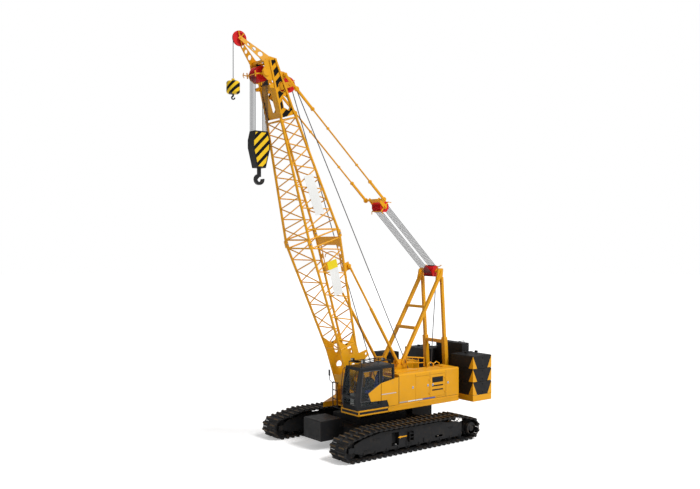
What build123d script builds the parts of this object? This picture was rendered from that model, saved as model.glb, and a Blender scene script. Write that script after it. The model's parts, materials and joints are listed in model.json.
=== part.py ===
from build123d import *
import math
import os

# Crawler crane with a two-piece lattice boom. Millimetres, +X ahead, +Y to the cab's side, +Z up.
# Everything is placed from the slew axis at ground level; ORIGIN_SHIFT then moves the whole machine so
# that its origin lies under the middle of its overall box.

# ---------------------------------------------------------------- driving dimensions
SEAT_GAP = 0.3                 # between pieces that rest on one another
RUN_GAP = 10.0                 # between panels that swing and the frame round them
PIN_FIT = 0.05                 # radial clearance of a pin in its bore

# tracks
TRACK_MID_Y = 2345.0           # track centre line from the machine's centre line
SHOE_WIDTH = 950.0
SHOE_THICK = 85.0              # link and shoe plate together
LUG_HEIGHT = 30.0
SHOE_COUNT = 58
IDLER_X = 3005.0
IDLER_R = 330.0
SPROCKET_X = -3150.0
SPROCKET_R = 250.0
SPROCKET_LIFT = 35.0           # sprocket side of the track hangs clear of the ground
CARRIER_R = 90.0
CARRIER_Z = 895.0
CARRIER_XS = (2000.0, 350.0, -1300.0)
ROLLER_R = 115.0
ROLLER_COUNT = 10
ROLLER_X_FIRST = 2480.0
ROLLER_X_LAST = -2560.0
TRACK_FRAME_HALF = 300.0       # half width of a side frame over its two side plates
TRACK_FRAME_X = (-2680.0, 2860.0)
SIDE_PLATE = 40.0

# carbody
CARBODY_Z = (400.0, 1100.0)
CARBODY_HALF_X = 1210.0
CARBODY_HALF_Y = 900.0
LEG_X = 1500.0                 # cross legs fore and aft of the slew axis
LEG_HALF = 330.0
LEG_Z = (430.0, 850.0)
BASE_WEIGHT_HALF_Y = 570.0
BASE_WEIGHT_Z = (360.0, 1150.0)
BASE_WEIGHT_FRONT_X = 2890.0
BASE_WEIGHT_REAR_X = -2960.0
RING_R = 960.0
RING_BORE_R = 740.0
RING_TOP = 1340.0

# upper deck
DECK_Z = (1400.0, 1610.0)
DECK_SIDE_Y = 1700.0
WEB_Y = 600.0                  # middle of a main web
WEB_THICK = 50.0
WEB_FRONT_X = 1300.0
WEB_REAR_X = -3650.0
DECK_REAR_X = -3990.0
WEB_TOP = 2000.0
PLATFORM_FRONT_X = 1920.0
HOUSE_INNER_Y = 760.0
HOUSE_FRONT_X = -130.0
HOUSE_REAR_X = -3440.0
HOUSE_TOP = 2800.0
HOUSE_WALL = 40.0
RIGHT_HOUSE_FRONT_X = 1150.0
HOUSE_DOOR_Z = (1720.0, 2640.0)
HOUSE_HINGE_ZS = (1880.0, 2440.0)
HINGE_R = 12.0
HINGE_BARREL = 45.0
TOWER_TOP = 3200.0             # uprights that carry the A-frame feet and the backstop seats

# cab
CAB_X = (80.0, 2020.0)
CAB_Y = (790.0, 1700.0)
CAB_Z = (1610.0, 3250.0)
CAB_WALL = 60.0
CAB_PILLAR_X = 800.0           # rear edge of the doorway
GLASS = 8.0
CAB_HINGE_ZS = (1800.0, 3000.0)

# counterweight
TRAY_Z = (1350.0, 1610.0)
TRAY_HALF_Y = 2150.0
TRAY_X = (-4960.0, -3830.0)
STACK_INNER_Y = 850.0
STACK_TOP = 3260.0
SLAB_COUNT = 5
CENTRE_HALF_Y = 820.0
CENTRE_FRONT_X = -4530.0
CENTRE_TOP = 3620.0
SLAB_GROOVE = 14.0
EYE_XS = (-4700.0, -4090.0)    # lifting eyes on the side stacks
EYE_Y = 1500.0
EYE_RISE = 60.0
EYE_OUTER_R = 75.0
EYE_BORE_R = 35.0
EYE_THICK = 40.0

# A-frame
APEX = (-3460.0, 6790.0)       # x, z of the apex sheave axis
A_HALF_Y = 600.0
A_FOOT = (-1230.0, 3060.0)
A_FOOT_PIN_R = 40.0
A_FRONT_SIZE = 130.0
A_REAR_SIZE = 130.0
A_SLEEVE_SIZE = 190.0
A_SLEEVE_TOP = 3940.0
GUSSET_HALF = 35.0
A_TOP = (-3460.0, 6730.0)      # where the legs meet, just under the apex shaft
A_REAR_FOOT_X = -3820.0
APEX_SHEAVE_R = 240.0
APEX_SHAFT_R = 55.0
ROPE_R = 13.0
LUFF_PARTS = 6                 # rope parts on each side of the luffing sheaves

# boom; s runs from the foot pin to the head, n is square to it and ahead
BOOM_FOOT = (870.0, 2000.0)
BOOM_ANGLE = 72.2
FOOT_PIN_R = 60.0
BOOM_FOOT_HALF = 467.0
BASE_PLATE_S = 1600.0          # end of the plated foot
BOOM_JOINT_S = 6500.0          # pinned joint of the two sections
BOOM_TOP_S = 11250.0           # end of the lattice
HEAD_END_S = 13350.0
CHORD_R = 50.0
LACE_R = 24.0
FOOT_N = 380.0
FOOT_Y = 467.0
WAIST_N = 720.0
WAIST_Y = 810.0
TOP_N = 335.0
TOP_Y = 490.0
BASE_BAYS = 7
TOP_BAYS = 8

# head
HEAD_SHEAVE = (13050.0, 450.0)   # s, n of the main sheave axis
HEAD_SHEAVE_R = 270.0            # to the rope's middle
HEAD_SHEAVES = 5
HEAD_SHEAVE_PITCH = 90.0
HEAD_PLATE = 40.0
GUIDE_SHEAVE = (12380.0, -480.0)
GUIDE_SHEAVE_R = 280.0
PENDANT_PIN = (12200.0, -630.0)
PENDANT_Y = 590.0
TIP_SHEAVE = (14460.0, 870.0)
TIP_SHEAVE_R = 260.0
HEAD_SHAFT_R = 60.0
GUIDE_SHAFT_R = 45.0
TIP_SHAFT_R = 40.0
TIP_ARM_Y = (450.0, 90.0)        # middle of an arm plate at its root and at the tip sheave
TIP_ARM_THICK = 30.0

# stays
BRIDLE_REACH = 3980.0            # apex to bridle sheave axis
BRIDLE_SHEAVE_R = 220.0
FALL_GAP = 900.0                 # rope parts stop short of the far sheaves by this
PENDANT_R = 32.0
BRIDLE_HALF_Y = 330.0
YOKE_REACH = 400.0              # bridle sheave axis to the pendants' pin
YOKE_PIN_R = 50.0

# backstops
BACKSTOP_SEAT = (-920.0, 3100.0)
BACKSTOP_PIN = (5100.0, -880.0)  # s, n
BACKSTOP_Y = 700.0
BACKSTOP_TUBE_R = 62.0
SEAT_PIN_R = 35.0
BACKSTOP_ROD_R = 44.0
BACKSTOP_TUBE_LENGTH = 2700.0

# hooks
BLOCK_Z = (10810.0, 12170.0)
BLOCK_HALF_X = 370.0
BLOCK_HALF_Y = 190.0
MAIN_HOOK_BOTTOM = 10180.0
AUX_BALL_Z = (13450.0, 13910.0)
AUX_BALL_R = 245.0
AUX_HOOK_BOTTOM = 13230.0


# ---------------------------------------------------------------- places worked out from them
WHEEL_BELT = SHOE_THICK + LUG_HEIGHT
DECK_TOP = DECK_Z[1] + 10
IDLER_Z = IDLER_R + WHEEL_BELT
SPROCKET_Z = SPROCKET_R + WHEEL_BELT + SPROCKET_LIFT
BOOM_PLANE = Plane(
    origin=(BOOM_FOOT[0], 0, BOOM_FOOT[1]),
    x_dir=(math.cos(math.radians(BOOM_ANGLE)), 0, math.sin(math.radians(BOOM_ANGLE))),
    z_dir=(0, 1, 0),
)


def on_boom(s, n, y=0.0):
    """World point of a place given along the boom, ahead of it and to the side."""
    return BOOM_PLANE.from_local_coords(Vector(s, n, y))


HEAD_AXIS = on_boom(*HEAD_SHEAVE)
TIP_AXIS = on_boom(*TIP_SHEAVE)
PENDANT_TOP = on_boom(*PENDANT_PIN)
BACKSTOP_TOP = on_boom(*BACKSTOP_PIN)
APEX_POINT = Vector(APEX[0], 0, APEX[1])
STAY_DIR = (PENDANT_TOP - APEX_POINT).normalized()
STAY_UP = Vector(-STAY_DIR.Z, 0, STAY_DIR.X)
BRIDLE_POINT = APEX_POINT + STAY_DIR * BRIDLE_REACH
SEAT_POINT = Vector(BACKSTOP_SEAT[0], 0, BACKSTOP_SEAT[1])
BACKSTOP_DIR = (BACKSTOP_TOP - SEAT_POINT).normalized()
AUX_X = TIP_AXIS.X + TIP_SHEAVE_R
BLOCK_X = HEAD_AXIS.X
ORIGIN_SHIFT = (-(TRAY_X[0] + AUX_X + AUX_BALL_R) / 2, 0.0, 0.0)


# ---------------------------------------------------------------- shapes used everywhere
def block(x, y, z):
    """Box from (low, high) pairs; each pair may be given in either order."""
    size = [abs(b - a) for a, b in (x, y, z)]
    middle = [(a + b) / 2 for a, b in (x, y, z)]
    return Pos(*middle) * Box(*size)


def plate(outline, y):
    """Flat piece with an outline of (x, z) corners, between the two y values."""
    face = make_face(Plane.XZ * Polyline(*outline, close=True))
    return Pos(0, min(y), 0) * extrude(face, abs(y[1] - y[0]), dir=(0, 1, 0))


def disc(x, z, radius, y):
    """Round piece about a cross axis, between the two y values."""
    middle = (y[0] + y[1]) / 2
    return Pos(x, middle, z) * Rot(90, 0, 0) * Cylinder(radius, abs(y[1] - y[0]))


def rod(start, end, radius):
    """Round bar from point to point."""
    line = Vector(end) - Vector(start)
    base = (Align.CENTER, Align.CENTER, Align.MIN)
    return Plane(origin=start, z_dir=line) * Cylinder(radius, line.length, align=base)


def bar(start, end, radius, sides=6):
    """Bar of many flats from point to point, for welded lacing."""
    line = Vector(end) - Vector(start)
    section = Plane(origin=start, z_dir=line) * RegularPolygon(radius, sides)
    return extrude(section, line.length, dir=line)


def beam(start, end, size, y_mid, y_size=None):
    """Square tube drawn solid between two (x, z) points, at one y."""
    a = Vector(start[0], y_mid, start[1])
    line = Vector(end[0], y_mid, end[1]) - a
    section = Plane(origin=a, x_dir=(0, 1, 0), z_dir=line) * Rectangle(y_size or size, size)
    return extrude(section, line.length, dir=line)


def both_sides(piece):
    """The piece and its mirror image across the centre plane."""
    return [piece, mirror(piece, about=Plane.XZ)]


def fused(pieces):
    """One solid, or several where they don't touch."""
    first, *others = pieces
    return first.fuse(*others) if others else first


def sheave(x, z, rope_r, y_mid, width=70.0):
    """Grooved rope wheel about a cross axis; rope_r is to the middle of the rope."""
    half = width / 2
    rim = rope_r + 1.9 * ROPE_R
    groove = rope_r - ROPE_R - SEAT_GAP
    profile = [
        (0, -half), (rim, -half), (rim, -half * 0.75), (groove, -ROPE_R - 1),
        (groove, ROPE_R + 1), (rim, half * 0.75), (rim, half), (0, half),
    ]
    face = make_face(Polyline(*profile, close=True))
    wheel = revolve(face, Axis.Y)
    return Pos(x, y_mid, z) * wheel


# ---------------------------------------------------------------- tracks
def belt(wheels):
    """Closed wire in the XZ plane round wheels (x, z, radius), met bottom, front, top, rear."""
    count = len(wheels)
    normals = []
    for k in range(count):
        xa, za, ra = wheels[k]
        xb, zb, rb = wheels[(k + 1) % count]
        heading = math.atan2(zb - za, xb - xa)
        lean = math.asin((ra - rb) / math.hypot(xb - xa, zb - za))
        normals.append(heading - math.pi / 2 + lean)

    def at(wheel, angle):
        return (wheel[0] + wheel[2] * math.cos(angle), wheel[1] + wheel[2] * math.sin(angle))

    edges = []
    for k in range(count):
        wheel, following = wheels[k], wheels[(k + 1) % count]
        arrive, leave = normals[k - 1], normals[k]
        while leave < arrive:
            leave += 2 * math.pi
        middle = (arrive + leave) / 2
        if leave - arrive > 1e-6:
            edges.append(ThreePointArc(at(wheel, arrive), at(wheel, middle), at(wheel, leave)))
        edges.append(Line(at(wheel, leave), at(following, normals[k])))
    return Wire(edges)


def track_wheels(extra):
    """Wheels under the belt, their radii grown by extra; the sprocket is met first."""
    carriers = [(x, CARRIER_Z, CARRIER_R + extra) for x in CARRIER_XS]
    roller_z = WHEEL_BELT + ROLLER_R
    lowest = [(x, roller_z, ROLLER_R + extra) for x in (ROLLER_X_LAST, ROLLER_X_FIRST)]
    idler = (IDLER_X, IDLER_Z, IDLER_R + extra)
    sprocket = (SPROCKET_X, SPROCKET_Z, SPROCKET_R + extra)
    return [sprocket, *lowest, idler, *carriers]


def make_track(side):
    """Belt of shoes with a lug across each shoe, as one closed loop."""
    path = belt(track_wheels(SHOE_THICK))
    inner = belt(track_wheels(SEAT_GAP))
    pitch = 1.0 / SHOE_COUNT
    # stations along one shoe as (share of the pitch, height over the shoe plate)
    shoe = ((0.04, 0.0), (0.30, 0.0), (0.38, LUG_HEIGHT), (0.62, LUG_HEIGHT), (0.70, 0.0), (0.96, 0.0))
    corners = []
    for k in range(SHOE_COUNT):
        for share, height in shoe:
            t = (k + share) * pitch
            point, tangent = path.position_at(t), path.tangent_at(t)
            corners.append((point.X + tangent.Y * height, point.Y - tangent.X * height))
    outline = make_face(Plane.XZ * Polyline(*corners, close=True))
    hollow = make_face(Plane.XZ * inner)
    loop = extrude(outline - hollow, SHOE_WIDTH, dir=(0, 1, 0))
    return Pos(0, side * TRACK_MID_Y - SHOE_WIDTH / 2, 0) * loop


def make_track_frame(side):
    """Box frame between two side plates, with its carrier and track rollers."""
    y = side * TRACK_MID_Y
    half = TRACK_FRAME_HALF
    outline = [
        (TRACK_FRAME_X[1], 640), (2440, 800), (1600, 930), (-1500, 930), (-2060, 800),
        (-2620, 640), (TRACK_FRAME_X[0], 260), (-2560, 215), (2480, 215), (TRACK_FRAME_X[1], 330),
    ]
    plates = [
        plate(outline, (y - half, y - half + SIDE_PLATE)),
        plate(outline, (y + half - SIDE_PLATE, y + half)),
    ]
    core = block((-2500, 2400), (y - half + SIDE_PLATE, y + half - SIDE_PLATE), (380, 760))
    frame = fused([core, *plates])
    recesses = [(700.0, 1060.0), (-1600.0, -1200.0)]
    outer = y + side * half
    for x_low, x_high in recesses:
        frame -= block((x_low, x_high), (outer - side * 180, outer + side), (330, 830))
    roller_y = (y - half + SIDE_PLATE + SEAT_GAP, y + half - SIDE_PLATE - SEAT_GAP)
    step = (ROLLER_X_LAST - ROLLER_X_FIRST) / (ROLLER_COUNT - 1)
    rollers = [
        disc(ROLLER_X_FIRST + k * step, WHEEL_BELT + ROLLER_R, ROLLER_R, roller_y)
        for k in range(ROLLER_COUNT)
    ]
    rollers += [disc(x, CARRIER_Z, CARRIER_R, roller_y) for x in CARRIER_XS]
    return [frame, *rollers]


def make_end_wheels(side):
    """Idler ahead and drive sprocket behind, with the round travel gearbox at the sprocket."""
    y = side * TRACK_MID_Y
    idler = fused([
        disc(IDLER_X, IDLER_Z, IDLER_R, (y - 210, y + 210)),
        disc(IDLER_X, IDLER_Z, 110, (y - TRACK_FRAME_HALF, y + TRACK_FRAME_HALF)),
    ])
    sprocket = fused([
        disc(SPROCKET_X, SPROCKET_Z, SPROCKET_R, (y - 210, y + 210)),
        disc(SPROCKET_X, SPROCKET_Z, 190, (y - side * 330, y + side * 400)),
    ])
    yoke = [
        block((TRACK_FRAME_X[1] + SEAT_GAP, IDLER_X + 110), (y + e * 215, y + e * 295), (IDLER_Z - 90, IDLER_Z + 90))
        for e in (-1, 1)
    ]
    yoke = [piece - disc(IDLER_X, IDLER_Z, 110 + SEAT_GAP, (y - 400, y + 400)) for piece in yoke]
    return [idler, sprocket, *yoke]


# ---------------------------------------------------------------- carbody
def make_carbody():
    """Centre box with two cross legs that reach the side frames."""
    centre = block((-CARBODY_HALF_X, CARBODY_HALF_X), (-CARBODY_HALF_Y, CARBODY_HALF_Y), CARBODY_Z)
    reach = TRACK_MID_Y - TRACK_FRAME_HALF - SEAT_GAP
    legs = [
        block((x - LEG_HALF, x + LEG_HALF), (-reach, reach), LEG_Z)
        for x in (-LEG_X, LEG_X)
    ]
    ring_seat = Pos(0, 0, CARBODY_Z[1]) * Cylinder(
        RING_R + 60, 60, align=(Align.CENTER, Align.CENTER, Align.MIN)
    )
    return fused([centre, *legs, ring_seat])


def make_slew_ring():
    base = (Align.CENTER, Align.CENTER, Align.MIN)
    bottom = CARBODY_Z[1] + 60 + SEAT_GAP
    ring = Pos(0, 0, bottom) * Cylinder(RING_R, RING_TOP - bottom, align=base)
    return ring - Pos(0, 0, bottom) * Cylinder(RING_BORE_R, RING_TOP - bottom, align=base)


def make_base_weights():
    """Low weights hung on the carbody's front and rear."""
    weights = []
    for face_x, end_x in ((LEG_X + LEG_HALF, BASE_WEIGHT_FRONT_X), (-LEG_X - LEG_HALF, BASE_WEIGHT_REAR_X)):
        toward = 1 if end_x > 0 else -1
        body = block((face_x + toward * SEAT_GAP, end_x), (-BASE_WEIGHT_HALF_Y, BASE_WEIGHT_HALF_Y), BASE_WEIGHT_Z)
        body = chamfer(body.edges().filter_by(Axis.Y), 25)
        weights.append(body)
    return weights


# ---------------------------------------------------------------- upper deck
def make_deck():
    """Two main webs with the boom foot brackets, deck plates and the uprights of the A-frame."""
    web = [
        (WEB_REAR_X, DECK_Z[0]), (WEB_FRONT_X - 200, DECK_Z[0]), (WEB_FRONT_X, 1620),
        (WEB_FRONT_X - 120, 2130), (WEB_FRONT_X - 330, 2200), (620, 2130), (350, WEB_TOP - 120),
        (-500, WEB_TOP), (-800, TOWER_TOP), (-1340, TOWER_TOP), (-1900, WEB_TOP), (WEB_REAR_X, WEB_TOP),
    ]
    pieces = []
    half = WEB_THICK / 2
    for side in (-1, 1):
        pieces.append(plate(web, (side * WEB_Y - half, side * WEB_Y + half)))
        inner = [(560, DECK_Z[1]), (1180, DECK_Z[1]), (1080, 2130), (970, 2200), (770, 2200), (660, 2130)]
        pieces.append(plate(inner, (side * (BOOM_FOOT_HALF - 75), side * (BOOM_FOOT_HALF - 120))))
        pieces.append(block((HOUSE_REAR_X, PLATFORM_FRONT_X), (side * WEB_Y, side * DECK_SIDE_Y), DECK_Z))
    pieces.append(block((WEB_REAR_X, WEB_FRONT_X - 100), (-WEB_Y, WEB_Y), (DECK_Z[0], DECK_Z[0] + 60)))
    pieces.append(block((WEB_REAR_X, WEB_FRONT_X - 100), (-WEB_Y, WEB_Y), (DECK_TOP - 50, DECK_TOP)))
    tail_half = STACK_INNER_Y - RUN_GAP
    pieces.append(block((DECK_REAR_X, WEB_REAR_X + 100), (-tail_half, tail_half), (DECK_Z[0], DECK_TOP)))
    base = (Align.CENTER, Align.CENTER, Align.MIN)
    turntable = Pos(0, 0, RING_TOP + SEAT_GAP) * Cylinder(RING_R, DECK_Z[0] - RING_TOP + 20, align=base)
    pieces.append(turntable)
    deck = fused(pieces)
    deck -= disc(*A_FOOT, A_FOOT_PIN_R + PIN_FIT, (-WEB_Y - WEB_THICK, WEB_Y + WEB_THICK))
    for side in (-1, 1):
        pin_y = (side * (BOOM_FOOT_HALF - 130), side * (WEB_Y + half + 40))
        deck = deck.fuse(disc(BOOM_FOOT[0], BOOM_FOOT[1], FOOT_PIN_R, pin_y))
    return deck


def hinge(x, side, face_y, z, on_frame):
    """Half of one door hinge on an outer face: the frame's half is below the door's."""
    step = HINGE_BARREL + SEAT_GAP if on_frame else 0.0
    toward = -1 if on_frame else 1
    y = side * (face_y + HINGE_R + SEAT_GAP)
    low = z - step
    base = (Align.CENTER, Align.CENTER, Align.MIN)
    barrel = Pos(x, y, low) * Cylinder(HINGE_R, HINGE_BARREL, align=base)
    leaf = block((x, x + toward * 60), (side * face_y, side * (face_y + HINGE_R)), (low, low + HINGE_BARREL))
    return barrel.fuse(leaf)


def hinges(x, side, face_y, levels, on_frame):
    return [hinge(x, side, face_y, z, on_frame) for z in levels]


def make_house(side):
    """Machinery house on one side: hollow, open where its doors hang."""
    front = HOUSE_FRONT_X if side > 0 else RIGHT_HOUSE_FRONT_X
    y = (side * HOUSE_INNER_Y, side * DECK_SIDE_Y)
    floor = DECK_Z[1] + SEAT_GAP
    shell = block((HOUSE_REAR_X, front), y, (floor, HOUSE_TOP))
    top_edges = shell.edges().filter_by(Axis.X).group_by(Axis.Z)[-1]
    shell = fillet(top_edges, 60)
    shell -= block(
        (HOUSE_REAR_X + HOUSE_WALL, front - HOUSE_WALL),
        (side * (HOUSE_INNER_Y + HOUSE_WALL), side * (DECK_SIDE_Y - HOUSE_WALL)),
        (floor + HOUSE_WALL, HOUSE_TOP - HOUSE_WALL),
    )
    for low, high in house_doors(side):
        shell -= block((low, high), (side * (DECK_SIDE_Y - 2 * HOUSE_WALL), side * (DECK_SIDE_Y + 1)), HOUSE_DOOR_Z)
    for low, high in house_doors(side):
        shell = shell.fuse(*hinges(low + RUN_GAP / 2, side, DECK_SIDE_Y, HOUSE_HINGE_ZS, True))
    return shell


def house_doors(side):
    """Doorways of one house as (rear, front) x pairs."""
    if side > 0:
        return ((-2650.0, -1810.0), (-1760.0, -1010.0))
    return ((-2650.0, -1500.0),)


def make_house_door(side, index):
    low, high = house_doors(side)[index]
    gap = RUN_GAP
    y = (side * (DECK_SIDE_Y - HOUSE_WALL), side * DECK_SIDE_Y)
    z = (HOUSE_DOOR_Z[0] + gap, HOUSE_DOOR_Z[1] - gap)
    door = block((low + gap, high - gap), y, z)
    door = door.fuse(*hinges(low + RUN_GAP / 2, side, DECK_SIDE_Y, HOUSE_HINGE_ZS, False))
    if side > 0 and index == 1:
        return door
    # louvre openings as (low z, high z)
    for z_low, z_high in ((2290, 2520), (2130, 2190), (1960, 2020)):
        door -= block((low + 110, high - 110), (side * (DECK_SIDE_Y - 12), side * (DECK_SIDE_Y + 1)), (z_low, z_high))
    return door


def make_engine():
    """Engine and pump as one plain mass in the right house."""
    x = (HOUSE_REAR_X + 500, -900)
    y = (-HOUSE_INNER_Y - HOUSE_WALL - 60, -DECK_SIDE_Y + HOUSE_WALL + 120)
    z = (DECK_Z[1] + HOUSE_WALL + 2 * SEAT_GAP, 2560)
    return block(x, y, z)


def make_exhaust_box():
    """Dark intake and silencer housing on the right house."""
    body = block((-2350, -770), (-1600, -850), (HOUSE_TOP + SEAT_GAP, 3280))
    return chamfer(body.edges().group_by(Axis.Z)[-1], 60)


# x, z, drum radius, flange radius, half length
WINCHES = (
    (-250.0, 2060.0, 230.0, 370.0, 400.0),
    (-2050.0, 2060.0, 230.0, 370.0, 400.0),
    (-3020.0, 2030.0, 190.0, 310.0, 380.0),
)


def make_winches():
    """Rope drums between flanges, each on two side stands."""
    pieces = []
    for x, z, drum_r, flange_r, half in WINCHES:
        drum = disc(x, z, drum_r, (-half, half))
        flanges = [disc(x, z, flange_r, (e * half, e * (half + 30))) for e in (-1, 1)]
        stub = disc(x, z, 90, (-half - 90, half + 90))
        foot = [(x - 220, DECK_TOP + SEAT_GAP), (x + 220, DECK_TOP + SEAT_GAP), (x + 110, z + 110), (x - 110, z + 110)]
        stands = [plate(foot, (e * (half + 60), e * (half + 90))) for e in (-1, 1)]
        pieces.append(fused([drum, *flanges, stub, *stands]))
    return pieces


# ---------------------------------------------------------------- cab
def cab_outline(inset=0.0):
    """Side outline of the cab, shrunk by inset; the front leans back a little at the top."""
    x0, x1 = CAB_X
    z0, z1 = CAB_Z
    return [
        (x0 + inset, z0 + inset), (x1 - 60 - inset, z0 + inset), (x1 - inset, z0 + 260),
        (x1 - inset, z0 + 700), (x1 - 190 - inset, z1 - inset), (x0 + 40 + inset, z1 - inset),
    ]


DOOR_X = (CAB_PILLAR_X, 1900.0)
DOOR_Z = (1680.0, 3150.0)
DOOR_WINDOW = ((CAB_PILLAR_X + 90, 1780.0), (2050.0, 3060.0))


def make_cab_shell():
    """Hollow cab with window openings and a doorway on the outer side."""
    gap = SEAT_GAP
    shell = plate(cab_outline(), CAB_Y)
    shell = Pos(0, 0, gap) * shell
    shell = fillet(shell.edges().filter_by(Axis.X).group_by(Axis.Z)[-1], 50)
    inner = (CAB_Y[0] + CAB_WALL, CAB_Y[1] - CAB_WALL)
    shell -= plate(cab_outline(CAB_WALL), inner)
    # doorway, rear side window, inner side window, windscreen, lower front glass, rear window
    shell -= plate(door_outline(0), (CAB_Y[1] - 2 * CAB_WALL, CAB_Y[1] + 1))
    shell -= block((CAB_X[0] + 130, CAB_PILLAR_X - 90), (CAB_Y[1] - 2 * CAB_WALL, CAB_Y[1] + 1), (2560, 3120))
    shell -= block((CAB_X[0] + 150, CAB_X[1] - 330), (CAB_Y[0] - 1, CAB_Y[0] + 2 * CAB_WALL), (2150, 3120))
    shell -= block((CAB_X[1] - 300, CAB_X[1] + 1), (CAB_Y[0] + 75, CAB_Y[1] - 75), (2140, 3130))
    shell -= block((CAB_X[1] - 300, CAB_X[1] + 1), (CAB_Y[0] + 110, CAB_Y[1] - 110), (1790, 2060))
    shell -= block((CAB_X[0] - 1, CAB_X[0] + 200), (CAB_Y[0] + 110, CAB_Y[1] - 110), (2560, 3110))
    return shell.fuse(*hinges(DOOR_X[0] + RUN_GAP / 2, 1, CAB_Y[1], CAB_HINGE_ZS, True))


def door_outline(inset):
    """Doorway outline in the side wall; the front edge follows the windscreen pillar."""
    x0, x1 = DOOR_X
    z0, z1 = DOOR_Z
    return [
        (x0 + inset, z0 + inset), (x1 - inset, z0 + inset), (x1 - inset, z0 + 620),
        (x1 - 130 - inset, z1 - inset), (x0 + inset, z1 - inset),
    ]


def door_window_outline(inset):
    (x0, x1), (z0, z1) = DOOR_WINDOW
    return [
        (x0 + inset, z0 + inset), (x1 - inset, z0 + inset),
        (x1 - 110 - inset, z1 - inset), (x0 + inset, z1 - inset),
    ]


def make_cab_door():
    y = (CAB_Y[1] - CAB_WALL, CAB_Y[1])
    door = plate(door_outline(RUN_GAP), y)
    door -= plate(door_window_outline(0), (y[0] - 1, y[1] + 1))
    door -= block((DOOR_X[0] + 110, DOOR_X[1] - 110), (y[0] - 1, y[1] + 1), (1780, 1960))
    return door.fuse(*hinges(DOOR_X[0] + RUN_GAP / 2, 1, CAB_Y[1], CAB_HINGE_ZS, False))


def make_cab_door_glass():
    y = (CAB_Y[1] - CAB_WALL / 2 - GLASS / 2, CAB_Y[1] - CAB_WALL / 2 + GLASS / 2)
    upper = plate(door_window_outline(SEAT_GAP), y)
    gap = SEAT_GAP
    lower = block((DOOR_X[0] + 110 + gap, DOOR_X[1] - 110 - gap), y, (1780 + gap, 1960 - gap))
    return [upper, lower]


def make_cab_glass():
    """Fixed panes, each in the middle of its wall."""
    gap = SEAT_GAP
    outer_y = (CAB_Y[1] - CAB_WALL / 2 - GLASS / 2, CAB_Y[1] - CAB_WALL / 2 + GLASS / 2)
    inner_y = (CAB_Y[0] + CAB_WALL / 2 - GLASS / 2, CAB_Y[0] + CAB_WALL / 2 + GLASS / 2)
    rear_side = block((CAB_X[0] + 130 + gap, CAB_PILLAR_X - 90 - gap), outer_y, (2560 + gap, 3120 - gap))
    inner_side = block((CAB_X[0] + 150 + gap, CAB_X[1] - 330 - gap), inner_y, (2150 + gap, 3120 - gap))
    x1, z0, z1 = CAB_X[1] - CAB_WALL / 2, CAB_Z[0], CAB_Z[1]
    lean = 190 / (z1 - z0 - 700)
    front = [(x1, z0 + 700), (x1 - lean * (3130 - z0 - 700), 3130 - gap)]
    front = [(x1, 2140 + gap), front[0], front[1], (front[1][0] - GLASS, front[1][1]), (x1 - GLASS, z0 + 700), (x1 - GLASS, 2140 + gap)]
    windscreen = plate(front, (CAB_Y[0] + 75 + gap, CAB_Y[1] - 75 - gap))
    lower = block((x1 - 20, x1 - 20 + GLASS), (CAB_Y[0] + 110 + gap, CAB_Y[1] - 110 - gap), (1870, 2060 - gap))
    rear = block((CAB_X[0] + 30, CAB_X[0] + 30 + GLASS), (CAB_Y[0] + 110 + gap, CAB_Y[1] - 110 - gap), (2560 + gap, 3110 - gap))
    return [rear_side, inner_side, windscreen, lower, rear]


def make_seat():
    """Driver's seat cushion and back as soft solids."""
    mid = (CAB_Y[0] + CAB_Y[1]) / 2
    cushion = block((640, 1140), (mid - 250, mid + 250), (2080, 2200))
    back = plate([(500, 2080), (640 - SEAT_GAP, 2080), (560, 2900), (450, 2900)], (mid - 240, mid + 240))
    cushion = fillet(cushion.edges().group_by(Axis.Z)[-1], 40)
    back = fillet(back.edges().filter_by(Axis.Y).group_by(Axis.Z)[-1], 35)
    return [cushion, back]


def make_cab_fittings():
    """Seat box and the two control consoles."""
    mid = (CAB_Y[0] + CAB_Y[1]) / 2
    floor = CAB_Z[0] + CAB_WALL + 2 * SEAT_GAP
    seat_box = block((600, 1080), (mid - 210, mid + 210), (floor, 2080 - SEAT_GAP))
    consoles = [
        block((620, 1240), (mid + e * 270, mid + e * 370), (floor, 2330))
        for e in (-1, 1)
    ]
    return [seat_box, *consoles]


def make_roof_guard():
    """Grid over the cab roof on short posts."""
    top = 3425.0
    size = 30.0
    base = CAB_Z[1] + 2 * SEAT_GAP
    x = (240.0, 1740.0)
    y = (CAB_Y[0] + 60, CAB_Y[1] - 60)
    pieces = [block(x, (e, e + size), (top - size, top)) for e in (y[0], y[1] - size)]
    for k in range(6):
        at = x[0] + (x[1] - x[0] - size) * k / 5
        pieces.append(block((at, at + size), y, (top - size, top)))
    for at in (x[0], x[1] - size):
        for e in (y[0], y[1] - size):
            pieces.append(block((at, at + size), (e, e + size), (base, top)))
    return fused(pieces)


# ---------------------------------------------------------------- counterweight
def make_tray():
    side = block(TRAY_X, (-TRAY_HALF_Y, TRAY_HALF_Y), TRAY_Z)
    notch_x = (DECK_REAR_X - SEAT_GAP, TRAY_X[1] + 1)
    centre_gap = block(notch_x, (-STACK_INNER_Y, STACK_INNER_Y), (TRAY_Z[0] - 1, TRAY_Z[1] + 1))
    return side - centre_gap


def slabs(x, y, z, count):
    """Stack of slabs in one piece, a groove at each seam."""
    x, y = sorted(x), sorted(y)
    body = block(x, y, z)
    step = (z[1] - z[0]) / count
    g = SLAB_GROOVE
    for k in range(1, count):
        level = z[0] + k * step
        ring = block((x[0] - 1, x[1] + 1), (y[0] - 1, y[1] + 1), (level - g / 2, level + g / 2))
        ring -= block((x[0] + g, x[1] - g), (y[0] + g, y[1] - g), (level - g, level + g))
        body -= ring
    return body


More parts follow.
